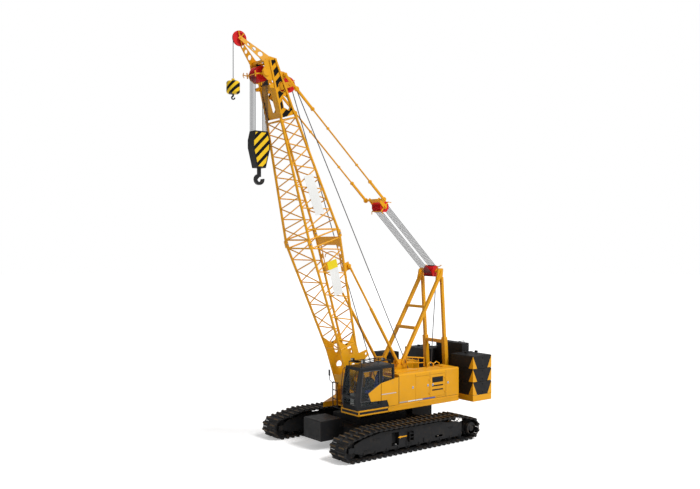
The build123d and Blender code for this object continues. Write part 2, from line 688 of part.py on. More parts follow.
def make_side_stacks():
    """Left and right slab stacks, each with two lifting eyes on top."""
    z = (TRAY_Z[1] + SEAT_GAP, STACK_TOP)
    stacks = []
    for side in (-1, 1):
        stack = slabs(TRAY_X, (side * STACK_INNER_Y, side * TRAY_HALF_Y), z, SLAB_COUNT)
        for x in EYE_XS:
            eye = Pos(x, side * EYE_Y, STACK_TOP + EYE_RISE) * Rot(90, 0, 0) * Cylinder(EYE_OUTER_R, EYE_THICK)
            stem_x = (x - EYE_OUTER_R, x + EYE_OUTER_R)
            stem_y = (side * EYE_Y - EYE_THICK / 2, side * EYE_Y + EYE_THICK / 2)
            stem = block(stem_x, stem_y, (STACK_TOP - 20, STACK_TOP + EYE_RISE))
            hole = Pos(x, side * EYE_Y, STACK_TOP + EYE_RISE) * Rot(90, 0, 0) * Cylinder(EYE_BORE_R, EYE_THICK + 2)
            stack = stack.fuse(eye, stem) - hole
        stacks.append(stack)
    return stacks


def make_centre_stack():
    z = (TRAY_Z[1] + SEAT_GAP, CENTRE_TOP)
    return slabs((TRAY_X[0], CENTRE_FRONT_X), (-CENTRE_HALF_Y, CENTRE_HALF_Y), z, SLAB_COUNT + 1)


# ---------------------------------------------------------------- A-frame
def make_a_frame_front():
    """Two front legs forked over the uprights, their cross beams, the apex gussets and the apex shaft."""
    pieces = []
    for side in (-1, 1):
        y = side * A_HALF_Y
        pieces.append(beam(A_FOOT, A_TOP, A_FRONT_SIZE, y))
        pieces.append(disc(*A_FOOT, A_FRONT_SIZE / 2, (y - A_FRONT_SIZE / 2, y + A_FRONT_SIZE / 2)))
        gusset = [
            (APEX[0] - 90, APEX[1] - 200), (APEX[0] + 330, APEX[1] - 560),
            (APEX[0] + 170, APEX[1] + 60), (APEX[0] + 60, APEX[1] + 140), (APEX[0] - 110, APEX[1] + 120),
        ]
        pieces.append(plate(gusset, (y - GUSSET_HALF, y + GUSSET_HALF)))
    # cross beams as (x, z, size)
    for x, z, size in ((-2564, 5302, 110), (-1989, 4439, 130)):
        pieces.append(block((x - size / 2, x + size / 2), (-A_HALF_Y, A_HALF_Y), (z - size / 2, z + size / 2)))
    pieces.append(disc(APEX[0], APEX[1], APEX_SHAFT_R, (-A_HALF_Y - 60, A_HALF_Y + 60)))
    frame = fused(pieces)
    for side in (-1, 1):
        y = side * A_HALF_Y
        slot = (y - WEB_THICK / 2 - SEAT_GAP, y + WEB_THICK / 2 + SEAT_GAP)
        frame -= block((A_FOOT[0] - 400, A_FOOT[0] + 300), slot, (A_FOOT[1] - 200, TOWER_TOP + 60))
        frame = frame.fuse(disc(*A_FOOT, A_FOOT_PIN_R, (y - A_FRONT_SIZE / 2, y + A_FRONT_SIZE / 2)))
    return frame


def make_a_frame_rear():
    """Two rear legs in wider sleeves, from the deck's tail to the apex."""
    foot = (A_REAR_FOOT_X, DECK_TOP - 60)
    top = (A_TOP[0] - 40, A_TOP[1] - A_REAR_SIZE - 40)
    share = (A_SLEEVE_TOP - foot[1]) / (top[1] - foot[1])
    sleeve_top = (foot[0] + share * (top[0] - foot[0]), A_SLEEVE_TOP)
    pieces = []
    for side in (-1, 1):
        y = side * A_HALF_Y
        pieces.append(beam(foot, top, A_REAR_SIZE, y))
        pieces.append(beam(foot, sleeve_top, A_SLEEVE_SIZE, y))
    tie_x = (sleeve_top[0] - 60, sleeve_top[0] + 60)
    pieces.append(block(tie_x, (-A_HALF_Y, A_HALF_Y), (A_SLEEVE_TOP - 260, A_SLEEVE_TOP - 120)))
    legs = fused(pieces)
    below_x = (A_REAR_FOOT_X - 300, A_REAR_FOOT_X + 300)
    below_y = (-A_HALF_Y - 200, A_HALF_Y + 200)
    legs -= block(below_x, below_y, (DECK_TOP - 200, DECK_TOP + SEAT_GAP))
    # the upper ends fork over the gussets and are cut back to the front legs' underside
    for side in (-1, 1):
        y = side * A_HALF_Y
        legs -= beam(A_FOOT, A_TOP, A_FRONT_SIZE + 2 * SEAT_GAP, y, A_REAR_SIZE + 2)
        fork_y = (y - GUSSET_HALF - SEAT_GAP, y + GUSSET_HALF + SEAT_GAP)
        legs -= block((APEX[0] - 400, APEX[0] + 400), fork_y, (APEX[1] - 570, APEX[1] + 200))
    return max_solids(legs, 1)


def max_solids(shape, count):
    """The largest solids of a shape, without offcuts."""
    ordered = sorted(shape.solids(), key=lambda solid: solid.volume, reverse=True)
    return ordered[:count]


def make_apex_sheaves():
    """Luffing sheaves on the apex shaft."""
    sheaves = [
        sheave(APEX[0], APEX[1], APEX_SHEAVE_R, y) - disc(APEX[0], APEX[1], APEX_SHAFT_R + PIN_FIT, (y - 50, y + 50))
        for y in luff_rope_ys()
    ]
    return sheaves


def luff_rope_ys():
    """Cross places of the luffing rope parts."""
    pitch = 85.0
    return [(k - (LUFF_PARTS - 1) / 2) * pitch for k in range(LUFF_PARTS)]


# ---------------------------------------------------------------- stays
def make_luff_falls(over):
    """Rope parts above (over=1) or below (over=-1) the stay's line, riding the apex or the bridle."""
    pieces = []
    start, end = (0.0, BRIDLE_REACH - FALL_GAP) if over > 0 else (FALL_GAP, BRIDLE_REACH)
    for y in luff_rope_ys():
        ends = []
        for reach in (start, end):
            share = reach / BRIDLE_REACH
            offset = APEX_SHEAVE_R + share * (BRIDLE_SHEAVE_R - APEX_SHEAVE_R)
            ends.append(APEX_POINT + STAY_DIR * reach + STAY_UP * (over * offset) + Vector(0, y, 0))
        pieces.append(rod(*ends, ROPE_R))
    return pieces


def make_bridle():
    """Sheave cage between the luffing falls and the pendants."""
    pin = BRIDLE_POINT
    cage = Plane(origin=pin, x_dir=STAY_DIR, z_dir=(0, 1, 0))
    pieces = []
    for side in (-1, 1):
        y0, y1 = sorted((side * BRIDLE_HALF_Y, side * (BRIDLE_HALF_Y + 40)))
        cheek = make_face(Polyline((-260, -120), (-120, -260), (220, -200), (480, -70), (480, 70), (220, 200), (-120, 260), (-260, 120), close=True))
        pieces.append(cage * (Pos(0, 0, y0) * extrude(cheek, y1 - y0)))
    pieces.append(disc(pin.X, pin.Z, 45, (-BRIDLE_HALF_Y - 60, BRIDLE_HALF_Y + 60)))
    far = pin + STAY_DIR * YOKE_REACH
    pieces.append(disc(far.X, far.Z, YOKE_PIN_R, (-PENDANT_Y - 50, PENDANT_Y + 50)))
    sheaves = [sheave(pin.X, pin.Z, BRIDLE_SHEAVE_R, y) for y in luff_rope_ys()]
    return fused(pieces + sheaves)


def make_pendants():
    """Two stay bars from the bridle to the boom head, with an eye at each end."""
    pieces = []
    start = BRIDLE_POINT + STAY_DIR * YOKE_REACH
    for side in (-1, 1):
        y = side * PENDANT_Y
        a = start + Vector(0, y, 0)
        b = PENDANT_TOP + Vector(0, y, 0)
        bars = [rod(a, b, PENDANT_R)]
        for point in (a, b):
            bars.append(disc(point.X, point.Z, 100, (y - 30, y + 30)))
        pendant = fused(bars)
        for point in (a, b):
            pendant -= disc(point.X, point.Z, YOKE_PIN_R + PIN_FIT, (y - 50, y + 50))
        pieces.append(pendant)
    return pieces


# ---------------------------------------------------------------- backstops
def make_backstop_tubes():
    pieces = []
    for side in (-1, 1):
        y = side * BACKSTOP_Y
        a = SEAT_POINT + Vector(0, y, 0)
        b = a + BACKSTOP_DIR * BACKSTOP_TUBE_LENGTH
        tube = rod(a, b, BACKSTOP_TUBE_R) - rod(a + BACKSTOP_DIR * 300, b, BACKSTOP_ROD_R + 1)
        eye = disc(a.X, a.Z, 85, (y - 30, y + 30))
        solid = tube.fuse(eye)
        solid -= disc(a.X, a.Z, SEAT_PIN_R + PIN_FIT, (y - 2 * BACKSTOP_TUBE_R, y + 2 * BACKSTOP_TUBE_R))
        pieces.append(solid)
    return pieces


def make_backstop_rods():
    pieces = []
    for side in (-1, 1):
        y = side * BACKSTOP_Y
        end = BACKSTOP_TOP + Vector(0, y, 0)
        start = SEAT_POINT + Vector(0, y, 0) + BACKSTOP_DIR * 760
        eye = disc(end.X, end.Z, 75, (y - 25, y + 25))
        pieces.append(rod(start, end, BACKSTOP_ROD_R).fuse(eye))
    return pieces


def make_backstop_seats():
    """Pins and outer cheeks on the uprights for the backstops."""
    pieces = []
    for side in (-1, 1):
        inner = side * (WEB_Y + WEB_THICK / 2 + SEAT_GAP)
        outer = side * (BACKSTOP_Y + 75)
        pieces.append(disc(BACKSTOP_SEAT[0], BACKSTOP_SEAT[1], SEAT_PIN_R, (inner, outer)))
    return pieces


# ---------------------------------------------------------------- boom
def chord(section, sign_n, sign_y, s):
    """Local point on a chord at s; section is (s0, n0, y0, s1, n1, y1)."""
    s0, n0, y0, s1, n1, y1 = section
    t = (s - s0) / (s1 - s0)
    return Vector(s, sign_n * (n0 + t * (n1 - n0)), sign_y * (y0 + t * (y1 - y0)))


def lattice(section, bays, sides=8):
    """Four chords with zigzag lacing on every face and a square of ties at each end."""
    s0, s1 = section[0], section[3]
    corners = ((1, 1), (1, -1), (-1, -1), (-1, 1))
    pieces = []
    for sn, sy in corners:
        pieces.append(bar(chord(section, sn, sy, s0 - 30), chord(section, sn, sy, s1 + 30), CHORD_R, sides))
    inset = 110.0
    stations = [s0 + inset + (s1 - s0 - 2 * inset) * k / bays for k in range(bays + 1)]
    for face in range(4):
        a, b = corners[face], corners[(face + 1) % 4]
        for k in range(bays):
            first, second = (a, b) if k % 2 == 0 else (b, a)
            pieces.append(bar(chord(section, *first, stations[k]), chord(section, *second, stations[k + 1]), LACE_R))
        for s in (stations[0], stations[-1]):
            pieces.append(bar(chord(section, *a, s), chord(section, *b, s), LACE_R + 6))
    frame = fused(pieces)
    widest = 2 * WAIST_Y
    for s_low, s_high in ((s0 - 200, s0), (s1, s1 + 200)):
        frame -= block((s_low, s_high), (-widest, widest), (-widest, widest))
    return frame


BASE_SECTION = (BASE_PLATE_S - 150, FOOT_N, FOOT_Y, BOOM_JOINT_S - 60, WAIST_N, WAIST_Y)
TOP_SECTION = (BOOM_JOINT_S + 60, WAIST_N, WAIST_Y, BOOM_TOP_S + 60, TOP_N, TOP_Y)


def make_boom_base():
    """Plated foot with two eyes, then lattice widening to the joint."""
    pieces = [lattice(BASE_SECTION, BASE_BAYS)]
    for side in (-1, 1):
        y = (side * (FOOT_Y - 30), side * (FOOT_Y + 30))
        outline = [
            (0, -110), (350, -FOOT_N - 20), (BASE_PLATE_S + 450, -FOOT_N - 50), (BASE_PLATE_S + 60, -150),
            (BASE_PLATE_S + 60, 150), (BASE_PLATE_S + 450, FOOT_N + 50), (350, FOOT_N + 20), (0, 110),
        ]
        foot = make_face(Polyline(*outline, close=True)) + Circle(120)
        for s, r in ((640, 130), (1150, 150)):
            foot -= Pos(s, 0) * Circle(r)
        pieces.append(Pos(0, 0, min(y)) * extrude(foot, 60))
    for n in (-FOOT_N, FOOT_N):
        pieces.append(block((450, 900), (n - 15, n + 15), (-FOOT_Y, FOOT_Y)))
    for sn in (-1, 1):
        for sy in (-1, 1):
            end = chord(BASE_SECTION, sn, sy, BOOM_JOINT_S - 60)
            pieces.append(block((BOOM_JOINT_S - 140, BOOM_JOINT_S - SEAT_GAP / 2), (end.Y - 70, end.Y + 70), (end.Z - 40, end.Z + 40)))
    boom = fused(pieces)
    for side in (-1, 1):
        boom -= Pos(0, 0, side * FOOT_Y) * Cylinder(FOOT_PIN_R + PIN_FIT, 100)
    for side in (-1, 1):
        s, n = BACKSTOP_PIN
        lug_y = BACKSTOP_Y - BACKSTOP_ROD_R - RUN_GAP
        lug = block((s - 160, s + 160), (n - 60, -610), (side * (lug_y - 25), side * lug_y))
        root = block((s - 160, s + 160), (-700, -610), (side * (lug_y - 25), side * (lug_y + 70)))
        boom = boom.fuse(lug, root)
    return BOOM_PLANE * boom


def make_boom_top():
    """Lattice narrowing from the joint to the head."""
    pieces = [lattice(TOP_SECTION, TOP_BAYS)]
    for sn in (-1, 1):
        for sy in (-1, 1):
            start = chord(TOP_SECTION, sn, sy, BOOM_JOINT_S + 60)
            pieces.append(block((BOOM_JOINT_S + SEAT_GAP / 2, BOOM_JOINT_S + 140), (start.Y - 70, start.Y + 70), (start.Z - 40, start.Z + 40)))
    return BOOM_PLANE * fused(pieces)


HEAD_START_S = BOOM_TOP_S + 60 + SEAT_GAP
HEAD_OUTLINE = (
    (HEAD_START_S, -TOP_N), (12200, -400), (12900, -330), (HEAD_END_S, -60), (HEAD_END_S + 60, 130),
    (HEAD_SHEAVE[0] + 180, 480), (HEAD_SHEAVE[0], 610), (HEAD_SHEAVE[0] - 200, 520), (12600, 330), (HEAD_START_S, TOP_N),
)


def make_head():
    """Two side plates with slots, cross plates, sheave shafts and the arm of the tip sheave."""
    pieces = []
    for side in (-1, 1):
        low_y = min(side * (TOP_Y - HEAD_PLATE / 2), side * (TOP_Y + HEAD_PLATE / 2))
        face = make_face(Polyline(*HEAD_OUTLINE, close=True))
        face -= Pos(11800, 20) * SlotOverall(760, 250)
        face -= Pos(12560, -60) * SlotOverall(420, 200)
        pieces.append(Pos(0, 0, low_y) * extrude(face, HEAD_PLATE))
        s, n = PENDANT_PIN
        lug_y = (side * (TOP_Y - HEAD_PLATE / 2), side * (TOP_Y + HEAD_PLATE / 2))
        pieces.append(block((s - 110, s + 110), (n - 60, -330), lug_y))
        guide_s, guide_n = GUIDE_SHEAVE
        pieces.append(block((guide_s - 120, guide_s + 120), (guide_n - 90, -330), lug_y))
        pieces.append(make_tip_arm(side))
    # cross plates as (s, n)
    for s, n in ((11420, 300), (11420, -300), (12900, -250), (HEAD_END_S, 20)):
        pieces.append(block((s - 40, s + 40), (n - 25, n + 25), (-TOP_Y, TOP_Y)))
    tip_beam = block((HEAD_END_S - 20, HEAD_END_S + 60), (-60, 240), (-TOP_Y, TOP_Y))
    pieces.append(tip_beam)
    for (s, n), r in ((HEAD_SHEAVE, HEAD_SHAFT_R), (GUIDE_SHEAVE, GUIDE_SHAFT_R)):
        pieces.append(Pos(s, n, 0) * Cylinder(r, 2 * TOP_Y + HEAD_PLATE))
    pieces.append(Pos(*TIP_SHEAVE, 0) * Cylinder(TIP_SHAFT_R, 2 * TIP_ARM_Y[1] + 30))
    return BOOM_PLANE * fused(pieces)


def make_tip_arm(side):
    """One tapered arm plate with three round holes, closing in towards the tip sheave."""
    root = Vector(HEAD_END_S - 10, 90, side * TIP_ARM_Y[0])
    tip = Vector(TIP_SHEAVE[0], TIP_SHEAVE[1], side * TIP_ARM_Y[1])
    along = tip - root
    flat = Vector(0, 0, 1) - along * (along.Z / along.length**2)
    arm_plane = Plane(origin=root, x_dir=along, z_dir=flat)
    reach = along.length
    outline = ((-20, -200), (reach + 70, -62), (reach + 70, 62), (-20, 250))
    face = make_face(Polyline(*outline, close=True))
    # lightening holes as (share of the arm's length, radius)
    for share, r in ((0.22, 125), (0.46, 95), (0.67, 68)):
        face -= Pos(share * reach, 15 * (1 - share)) * Circle(r)
    arm = arm_plane * extrude(face, TIP_ARM_THICK / 2, both=True)
    return arm


def make_head_sheaves():
    pitch = HEAD_SHEAVE_PITCH
    places = [(k - (HEAD_SHEAVES - 1) / 2) * pitch for k in range(HEAD_SHEAVES)]
    wheels = [
        sheave(HEAD_AXIS.X, HEAD_AXIS.Z, HEAD_SHEAVE_R, y) - disc(HEAD_AXIS.X, HEAD_AXIS.Z, HEAD_SHAFT_R + PIN_FIT, (y - 50, y + 50))
        for y in places
    ]
    guide = on_boom(*GUIDE_SHEAVE)
    for y in (-120.0, 120.0):
        wheels.append(sheave(guide.X, guide.Z, GUIDE_SHEAVE_R, y) - disc(guide.X, guide.Z, GUIDE_SHAFT_R + PIN_FIT, (y - 50, y + 50)))
    wheels.append(sheave(TIP_AXIS.X, TIP_AXIS.Z, TIP_SHEAVE_R, 0) - disc(TIP_AXIS.X, TIP_AXIS.Z, TIP_SHAFT_R + PIN_FIT, (-50, 50)))
    return wheels


# ---------------------------------------------------------------- hooks
def make_main_falls():
    pieces = []
    places = [(k - (HEAD_SHEAVES - 1) / 2) * HEAD_SHEAVE_PITCH for k in range(HEAD_SHEAVES)]
    for y in places:
        for side in (-1, 1):
            x = HEAD_AXIS.X + side * HEAD_SHEAVE_R
            pieces.append(rod((x, y, BLOCK_Z[1] + SEAT_GAP), (x, y, HEAD_AXIS.Z), ROPE_R))
    return pieces


def make_main_block():
    z0, z1 = BLOCK_Z
    x = BLOCK_X
    outline = [
        (x - 290, z1), (x + 290, z1), (x + BLOCK_HALF_X, z1 - 330), (x + BLOCK_HALF_X, z1 - 620),
        (x + 180, z0), (x - 180, z0), (x - BLOCK_HALF_X, z1 - 620), (x - BLOCK_HALF_X, z1 - 330),
    ]
    return plate(outline, (-BLOCK_HALF_Y, BLOCK_HALF_Y))


def hook(x, top, bottom, bow, thick, shank):
    """Single hook hanging from top; bow is the middle radius of its bend, thick its section."""
    centre_z = bottom + bow + thick / 2
    outer, inner = bow + thick / 2, bow - thick / 2
    bend = Circle(outer) - Circle(inner)
    mouth = make_face(Polyline((0, 0), (0, 2 * outer), (-2 * outer, 2 * outer), (-2 * outer, 0.35 * outer), close=True))
    neck = make_face(Polyline((-shank, inner), (shank, inner), (shank, top - centre_z), (-shank, top - centre_z), close=True))
    neck += make_face(Polyline((0, inner), (0, outer), (outer, 0), (inner, 0), close=True))
    profile = bend - mouth + neck
    solid = extrude(Plane.XZ * profile, thick * 0.4, both=True)
    return Pos(x, 0, centre_z) * solid


def make_main_hook():
    return hook(BLOCK_X, BLOCK_Z[0] - SEAT_GAP, MAIN_HOOK_BOTTOM, 150.0, 110.0, 55.0)


def make_aux_fall():
    return rod((AUX_X, 0, AUX_BALL_Z[1] + 90), (AUX_X, 0, TIP_AXIS.Z), ROPE_R)


def make_aux_ball():
    z0, z1 = AUX_BALL_Z
    profile = [(0, z0), (AUX_BALL_R - 50, z0), (AUX_BALL_R, z0 + 50), (AUX_BALL_R, z1 - 50), (AUX_BALL_R - 50, z1), (60, z1), (60, z1 + 90 - SEAT_GAP), (0, z1 + 90 - SEAT_GAP)]
    face = make_face(Plane.XZ * Polyline(*profile, close=True))
    return Pos(AUX_X, 0, 0) * revolve(face, Axis.Z)


def make_aux_hook():
    return hook(AUX_X, AUX_BALL_Z[0] - SEAT_GAP, AUX_HOOK_BOTTOM, 58.0, 40.0, 26.0)


# ---------------------------------------------------------------- every node
def machine():
    """Node names and what each is made of."""
    nodes = {
        "carbody": make_carbody(),
        "slew_ring": make_slew_ring(),
        "base_weights": make_base_weights(),
        "deck_frame": make_deck(),
        "backstop_seats": make_backstop_seats(),
        "engine": make_engine(),
        "exhaust_box": make_exhaust_box(),
        "winches": make_winches(),
        "cab_shell": make_cab_shell(),
        "cab_glass": make_cab_glass(),
        "cab_seat": make_seat(),
        "cab_fittings": make_cab_fittings(),
        "cab_roof_guard": make_roof_guard(),
        "cab_door": make_cab_door(),
        "cab_door_glass": make_cab_door_glass(),
        "counterweight_tray": make_tray(),
        "counterweight_sides": make_side_stacks(),
        "counterweight_centre": make_centre_stack(),
        "a_frame_front": make_a_frame_front(),
        "a_frame_rear": make_a_frame_rear(),
        "apex_sheaves": make_apex_sheaves(),
        "luff_falls_upper": make_luff_falls(1),
        "luff_falls_lower": make_luff_falls(-1),
        "bridle": make_bridle(),
        "pendants": make_pendants(),
        "backstop_tubes": make_backstop_tubes(),
        "backstop_rods": make_backstop_rods(),
        "boom_base": make_boom_base(),
        "boom_top": make_boom_top(),
        "boom_head": make_head(),
        "head_sheaves": make_head_sheaves(),
        "main_falls": make_main_falls(),
        "main_block": make_main_block(),
        "main_hook": make_main_hook(),
        "aux_fall": make_aux_fall(),
        "aux_ball": make_aux_ball(),
        "aux_hook": make_aux_hook(),
        "house_door_left_rear": make_house_door(1, 0),
        "house_door_left_front": make_house_door(1, 1),
        "house_door_right": make_house_door(-1, 0),
    }
    for name, side in (("left", 1), ("right", -1)):
        nodes[f"track_{name}"] = make_track(side)
        nodes[f"track_frame_{name}"] = make_track_frame(side)
        nodes[f"end_wheels_{name}"] = make_end_wheels(side)
        nodes[f"house_{name}"] = make_house(side)
    return nodes


def write_parts():
    os.makedirs("parts", exist_ok=True)
    for name, shape in machine().items():
        solids = []
        for piece in shape if isinstance(shape, list) else [shape]:
            solids.extend(piece.solids())
        placed = [Pos(*ORIGIN_SHIFT) * solid for solid in solids]
        model = placed[0] if len(placed) == 1 else Compound(children=placed)
        export_step(model, f"parts/{name}.step")


write_parts()
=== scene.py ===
import bpy
import bmesh
import json
import math
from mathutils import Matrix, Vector
from mathutils.geometry import tessellate_polygon


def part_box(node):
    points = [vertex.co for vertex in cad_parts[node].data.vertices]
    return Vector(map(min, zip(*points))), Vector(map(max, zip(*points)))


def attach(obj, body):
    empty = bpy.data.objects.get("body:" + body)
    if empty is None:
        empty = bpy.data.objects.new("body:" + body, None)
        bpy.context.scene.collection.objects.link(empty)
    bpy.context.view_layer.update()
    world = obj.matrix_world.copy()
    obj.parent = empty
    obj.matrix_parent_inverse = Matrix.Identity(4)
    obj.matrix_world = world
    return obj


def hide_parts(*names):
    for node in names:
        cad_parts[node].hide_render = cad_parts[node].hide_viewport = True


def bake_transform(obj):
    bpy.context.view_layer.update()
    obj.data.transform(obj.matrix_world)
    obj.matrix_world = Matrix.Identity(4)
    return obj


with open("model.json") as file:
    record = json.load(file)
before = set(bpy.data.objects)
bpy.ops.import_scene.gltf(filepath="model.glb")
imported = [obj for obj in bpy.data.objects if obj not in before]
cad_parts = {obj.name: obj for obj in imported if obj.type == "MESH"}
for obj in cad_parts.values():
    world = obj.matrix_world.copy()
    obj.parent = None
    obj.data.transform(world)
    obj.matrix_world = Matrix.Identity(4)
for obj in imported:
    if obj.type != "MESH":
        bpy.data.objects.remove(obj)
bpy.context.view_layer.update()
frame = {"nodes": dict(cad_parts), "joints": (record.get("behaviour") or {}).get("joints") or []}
NODES = frame["nodes"]
JOINTS = {joint["name"]: joint for joint in frame["joints"]}
scene = bpy.context.scene

# Places are given from the slew axis at ground level, in metres: +X ahead, +Y to the cab's side, +Z up.
SLEW_X = JOINTS["slew"]["pos_m"][0]
Y_AXIS = Vector((0, 1, 0))
Z_AXIS = Vector((0, 0, 1))


def at(x, y, z):
    return Vector((x + SLEW_X, y, z))


def route(*places):
    """Places one after another, each given as for at."""
    return [at(*place) for place in places]


# ---------------------------------------------------------------- sizes shared with the CAD
BOOM_ANGLE = math.radians(72.2)
BOOM_FOOT = Vector(JOINTS["boom_luff"]["pos_m"])
ALONG = Vector((math.cos(BOOM_ANGLE), 0, math.sin(BOOM_ANGLE)))
AHEAD = Vector((math.sin(BOOM_ANGLE), 0, -math.cos(BOOM_ANGLE)))
BASE_SECTION = (1.92, 0.38, 0.467, 6.44, 0.72, 0.81)     # s, n, y at the foot and at the joint
TOP_SECTION = (6.56, 0.72, 0.81, 11.31, 0.335, 0.49)
BASE_BAYS = 9
TOP_BAYS = 11
CHORD_R = 0.05
LACE_R = 0.025
LACE_INSET = 0.11                 # first and last lacing joint from a section's ends
HEAD_SHEAVE = (13.05, 0.45)
HEAD_SHEAVE_R = 0.27
HEAD_SHEAVE_YS = (-0.18, -0.09, 0.0, 0.09, 0.18)
GUIDE_SHEAVE = (12.43, -0.62)
GUIDE_SHEAVE_R = 0.28
GUIDE_SHEAVE_YS = (-0.12, 0.12)
TIP_SHEAVE = (14.46, 0.87)
TIP_SHEAVE_R = 0.26
PENDANT_PIN = (12.2, -0.63)
ROPE_R = 0.013
HOIST_ROPE_R = 0.018


def on_boom(s, n, y=0.0):
    """Place given along the boom, ahead of its middle and to the side."""
    return BOOM_FOOT + ALONG * s + AHEAD * n + Y_AXIS * y


def boom_outline(corners, y):
    """Outline from (along, ahead) corners, all as far to the side."""
    return [on_boom(s, n, y) for s, n in corners]


APEX = Vector(JOINTS["stay_swing"]["pos_m"])
APEX.y = 0.0
PENDANT_TOP = on_boom(*PENDANT_PIN)
STAY_DIR = (PENDANT_TOP - APEX).normalized()
STAY_UP = Vector((-STAY_DIR.z, 0, STAY_DIR.x))
BRIDLE_REACH = 3.98
YOKE_REACH = 0.4
PENDANT_Y = 0.59
BACKSTOP_PIN = (5.1, -0.88)
BRIDLE = APEX + STAY_DIR * BRIDLE_REACH
YOKE = BRIDLE + STAY_DIR * YOKE_REACH
LUFF_YS = [(k - 2.5) * 0.085 for k in range(6)]
APEX_SHEAVE_R = 0.2
BRIDLE_SHEAVE_R = 0.2
SIDES = (("left", 1), ("right", -1))


# ---------------------------------------------------------------- mesh building
class Shape:
    """Corners and faces of one piece."""

    def __init__(self):
        self.corners = []
        self.faces = []

    def skin(self, rings, closed=False):
        """Walls between rings of as many corners each, with a face on each end unless closed to a loop."""
        base = len(self.corners)
        count = len(rings[0])
        for ring in rings:
            self.corners.extend(ring)
        spans = len(rings) if closed else len(rings) - 1
        for i in range(spans):
            a = base + i * count
            b = base + (i + 1) % len(rings) * count
            for k in range(count):
                m = (k + 1) % count
                self.faces.append((a + k, a + m, b + m, b + k))
        if not closed:
            self.faces.append(tuple(base + k for k in reversed(range(count))))
            last = base + (len(rings) - 1) * count
            self.faces.append(tuple(last + k for k in range(count)))
        return self

    def box(self, low, high):
        """Box between two opposite corners given from the slew axis."""
        (x0, x1), (y0, y1), (z0, z1) = (sorted(pair) for pair in zip(low, high))
        ring = [at(x0, y0, z0), at(x1, y0, z0), at(x1, y1, z0), at(x0, y1, z0)]
        return self.skin([ring, [p + Z_AXIS * (z1 - z0) for p in ring]])

    def slab(self, centre, x_dir, y_dir, size):
        """Box about a centre, turned by two of its directions."""
        x = x_dir.normalized()
        z = x.cross(y_dir).normalized()
        y = z.cross(x)
        a, b, c = (length / 2 for length in size)
        ring = [centre - x * a - y * b, centre + x * a - y * b, centre + x * a + y * b, centre - x * a + y * b]
        return self.skin([[p - z * c for p in ring], [p + z * c for p in ring]])

    def plate(self, outline, shift, holes=()):
        """Flat piece from an outline and holes in it, as thick as the shift."""
        base = len(self.corners)
        loops = [list(outline), *[list(hole) for hole in holes]]
        points = [p for loop in loops for p in loop]
        self.corners.extend(points)
        self.corners.extend(p + shift for p in points)
        for a, b, c in tessellate_polygon(loops):
            self.faces.append((base + a, base + b, base + c))
            self.faces.append((base + len(points) + c, base + len(points) + b, base + len(points) + a))
        start = base
        for loop in loops:
            count = len(loop)
            for k in range(count):
                m = (k + 1) % count
                self.faces.append((start + k, start + m, start + len(points) + m, start + len(points) + k))
            start += count
        return self

    def tube(self, path, radius, sides=10):
        """Round bar along a path, mitred at its bends."""
        count = len(path)
        rings = []
        side = None
        for i, point in enumerate(path):
            before = path[i - 1] if i else point
            after = path[i + 1] if i < count - 1 else point
            heading = (after - before).normalized()
            if side is None:
                side = heading.cross(Z_AXIS if abs(heading.z) < 0.9 else Y_AXIS).normalized()
            else:
                side = (side - heading * side.dot(heading)).normalized()
            other = heading.cross(side)
            turns = [2 * math.pi * k / sides for k in range(sides)]
            rings.append([point + (side * math.cos(t) + other * math.sin(t)) * radius for t in turns])
        return self.skin(rings)

    def turned(self, profile, centre, axis, sides=32, closed=False):
        """Shape turned about an axis from (radius, height) corners."""
        axis = axis.normalized()
        side = axis.cross(Z_AXIS if abs(axis.z) < 0.9 else Y_AXIS).normalized()
        other = axis.cross(side)
        rings = []
        for r, h in profile:
            turns = [2 * math.pi * k / sides for k in range(sides)]
            rings.append([
                centre + axis * h + (side * math.cos(t) + other * math.sin(t)) * max(r, 1e-4) for t in turns
            ])
        return self.skin(rings, closed=closed)

    def disc(self, centre, radius, width, axis=Y_AXIS, sides=28):
        half = width / 2
        return self.turned(((radius, -half), (radius, half)), centre, axis, sides)

    def rod(self, start, end, radius, sides=12):
        return self.tube([start, end], radius, sides)


def circle(centre, radius, u, v, sides=20):
    turns = [2 * math.pi * k / sides for k in range(sides)]
    return [centre + (u * math.cos(t) + v * math.sin(t)) * radius for t in turns]


def spoke(degrees):
    """Direction in an upright plane, turned up from straight ahead."""
    t = math.radians(degrees)
    return Vector((math.cos(t), 0, math.sin(t)))


def placed(name, data):
    """New object in the scene."""
    thing = bpy.data.objects.new(name, data)
    scene.collection.objects.link(thing)
    return thing


def shade(mesh, angle):
    mesh.polygons.foreach_set("use_smooth", [True] * len(mesh.polygons))
    mesh.set_sharp_from_angle(angle=math.radians(angle))


def bevelled(thing, width, segments=2):
    if width:
        bevel = thing.modifiers.new("edges", "BEVEL")
        bevel.width = width
        bevel.segments = segments
        bevel.limit_method = "ANGLE"
        bevel.angle_limit = math.radians(40)
        bevel.harden_normals = False


def piece(name, shape, body, material, smooth=40, bevel=0.0, swaps=()):
    """Object from a shape, riding a body."""
    mesh = bpy.data.meshes.new(name)
    mesh.from_pydata([tuple(p) for p in shape.corners], [], shape.faces)
    work = bmesh.new()
    work.from_mesh(mesh)
    bmesh.ops.recalc_face_normals(work, faces=work.faces)
    work.to_mesh(mesh)
    work.free()
    mesh.materials.append(material)
    shade(mesh, smooth)
    thing = placed(name, mesh)
    bevelled(thing, bevel)
    if body:
        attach(thing, body)
    if swaps:
        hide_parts(*swaps)
    return thing


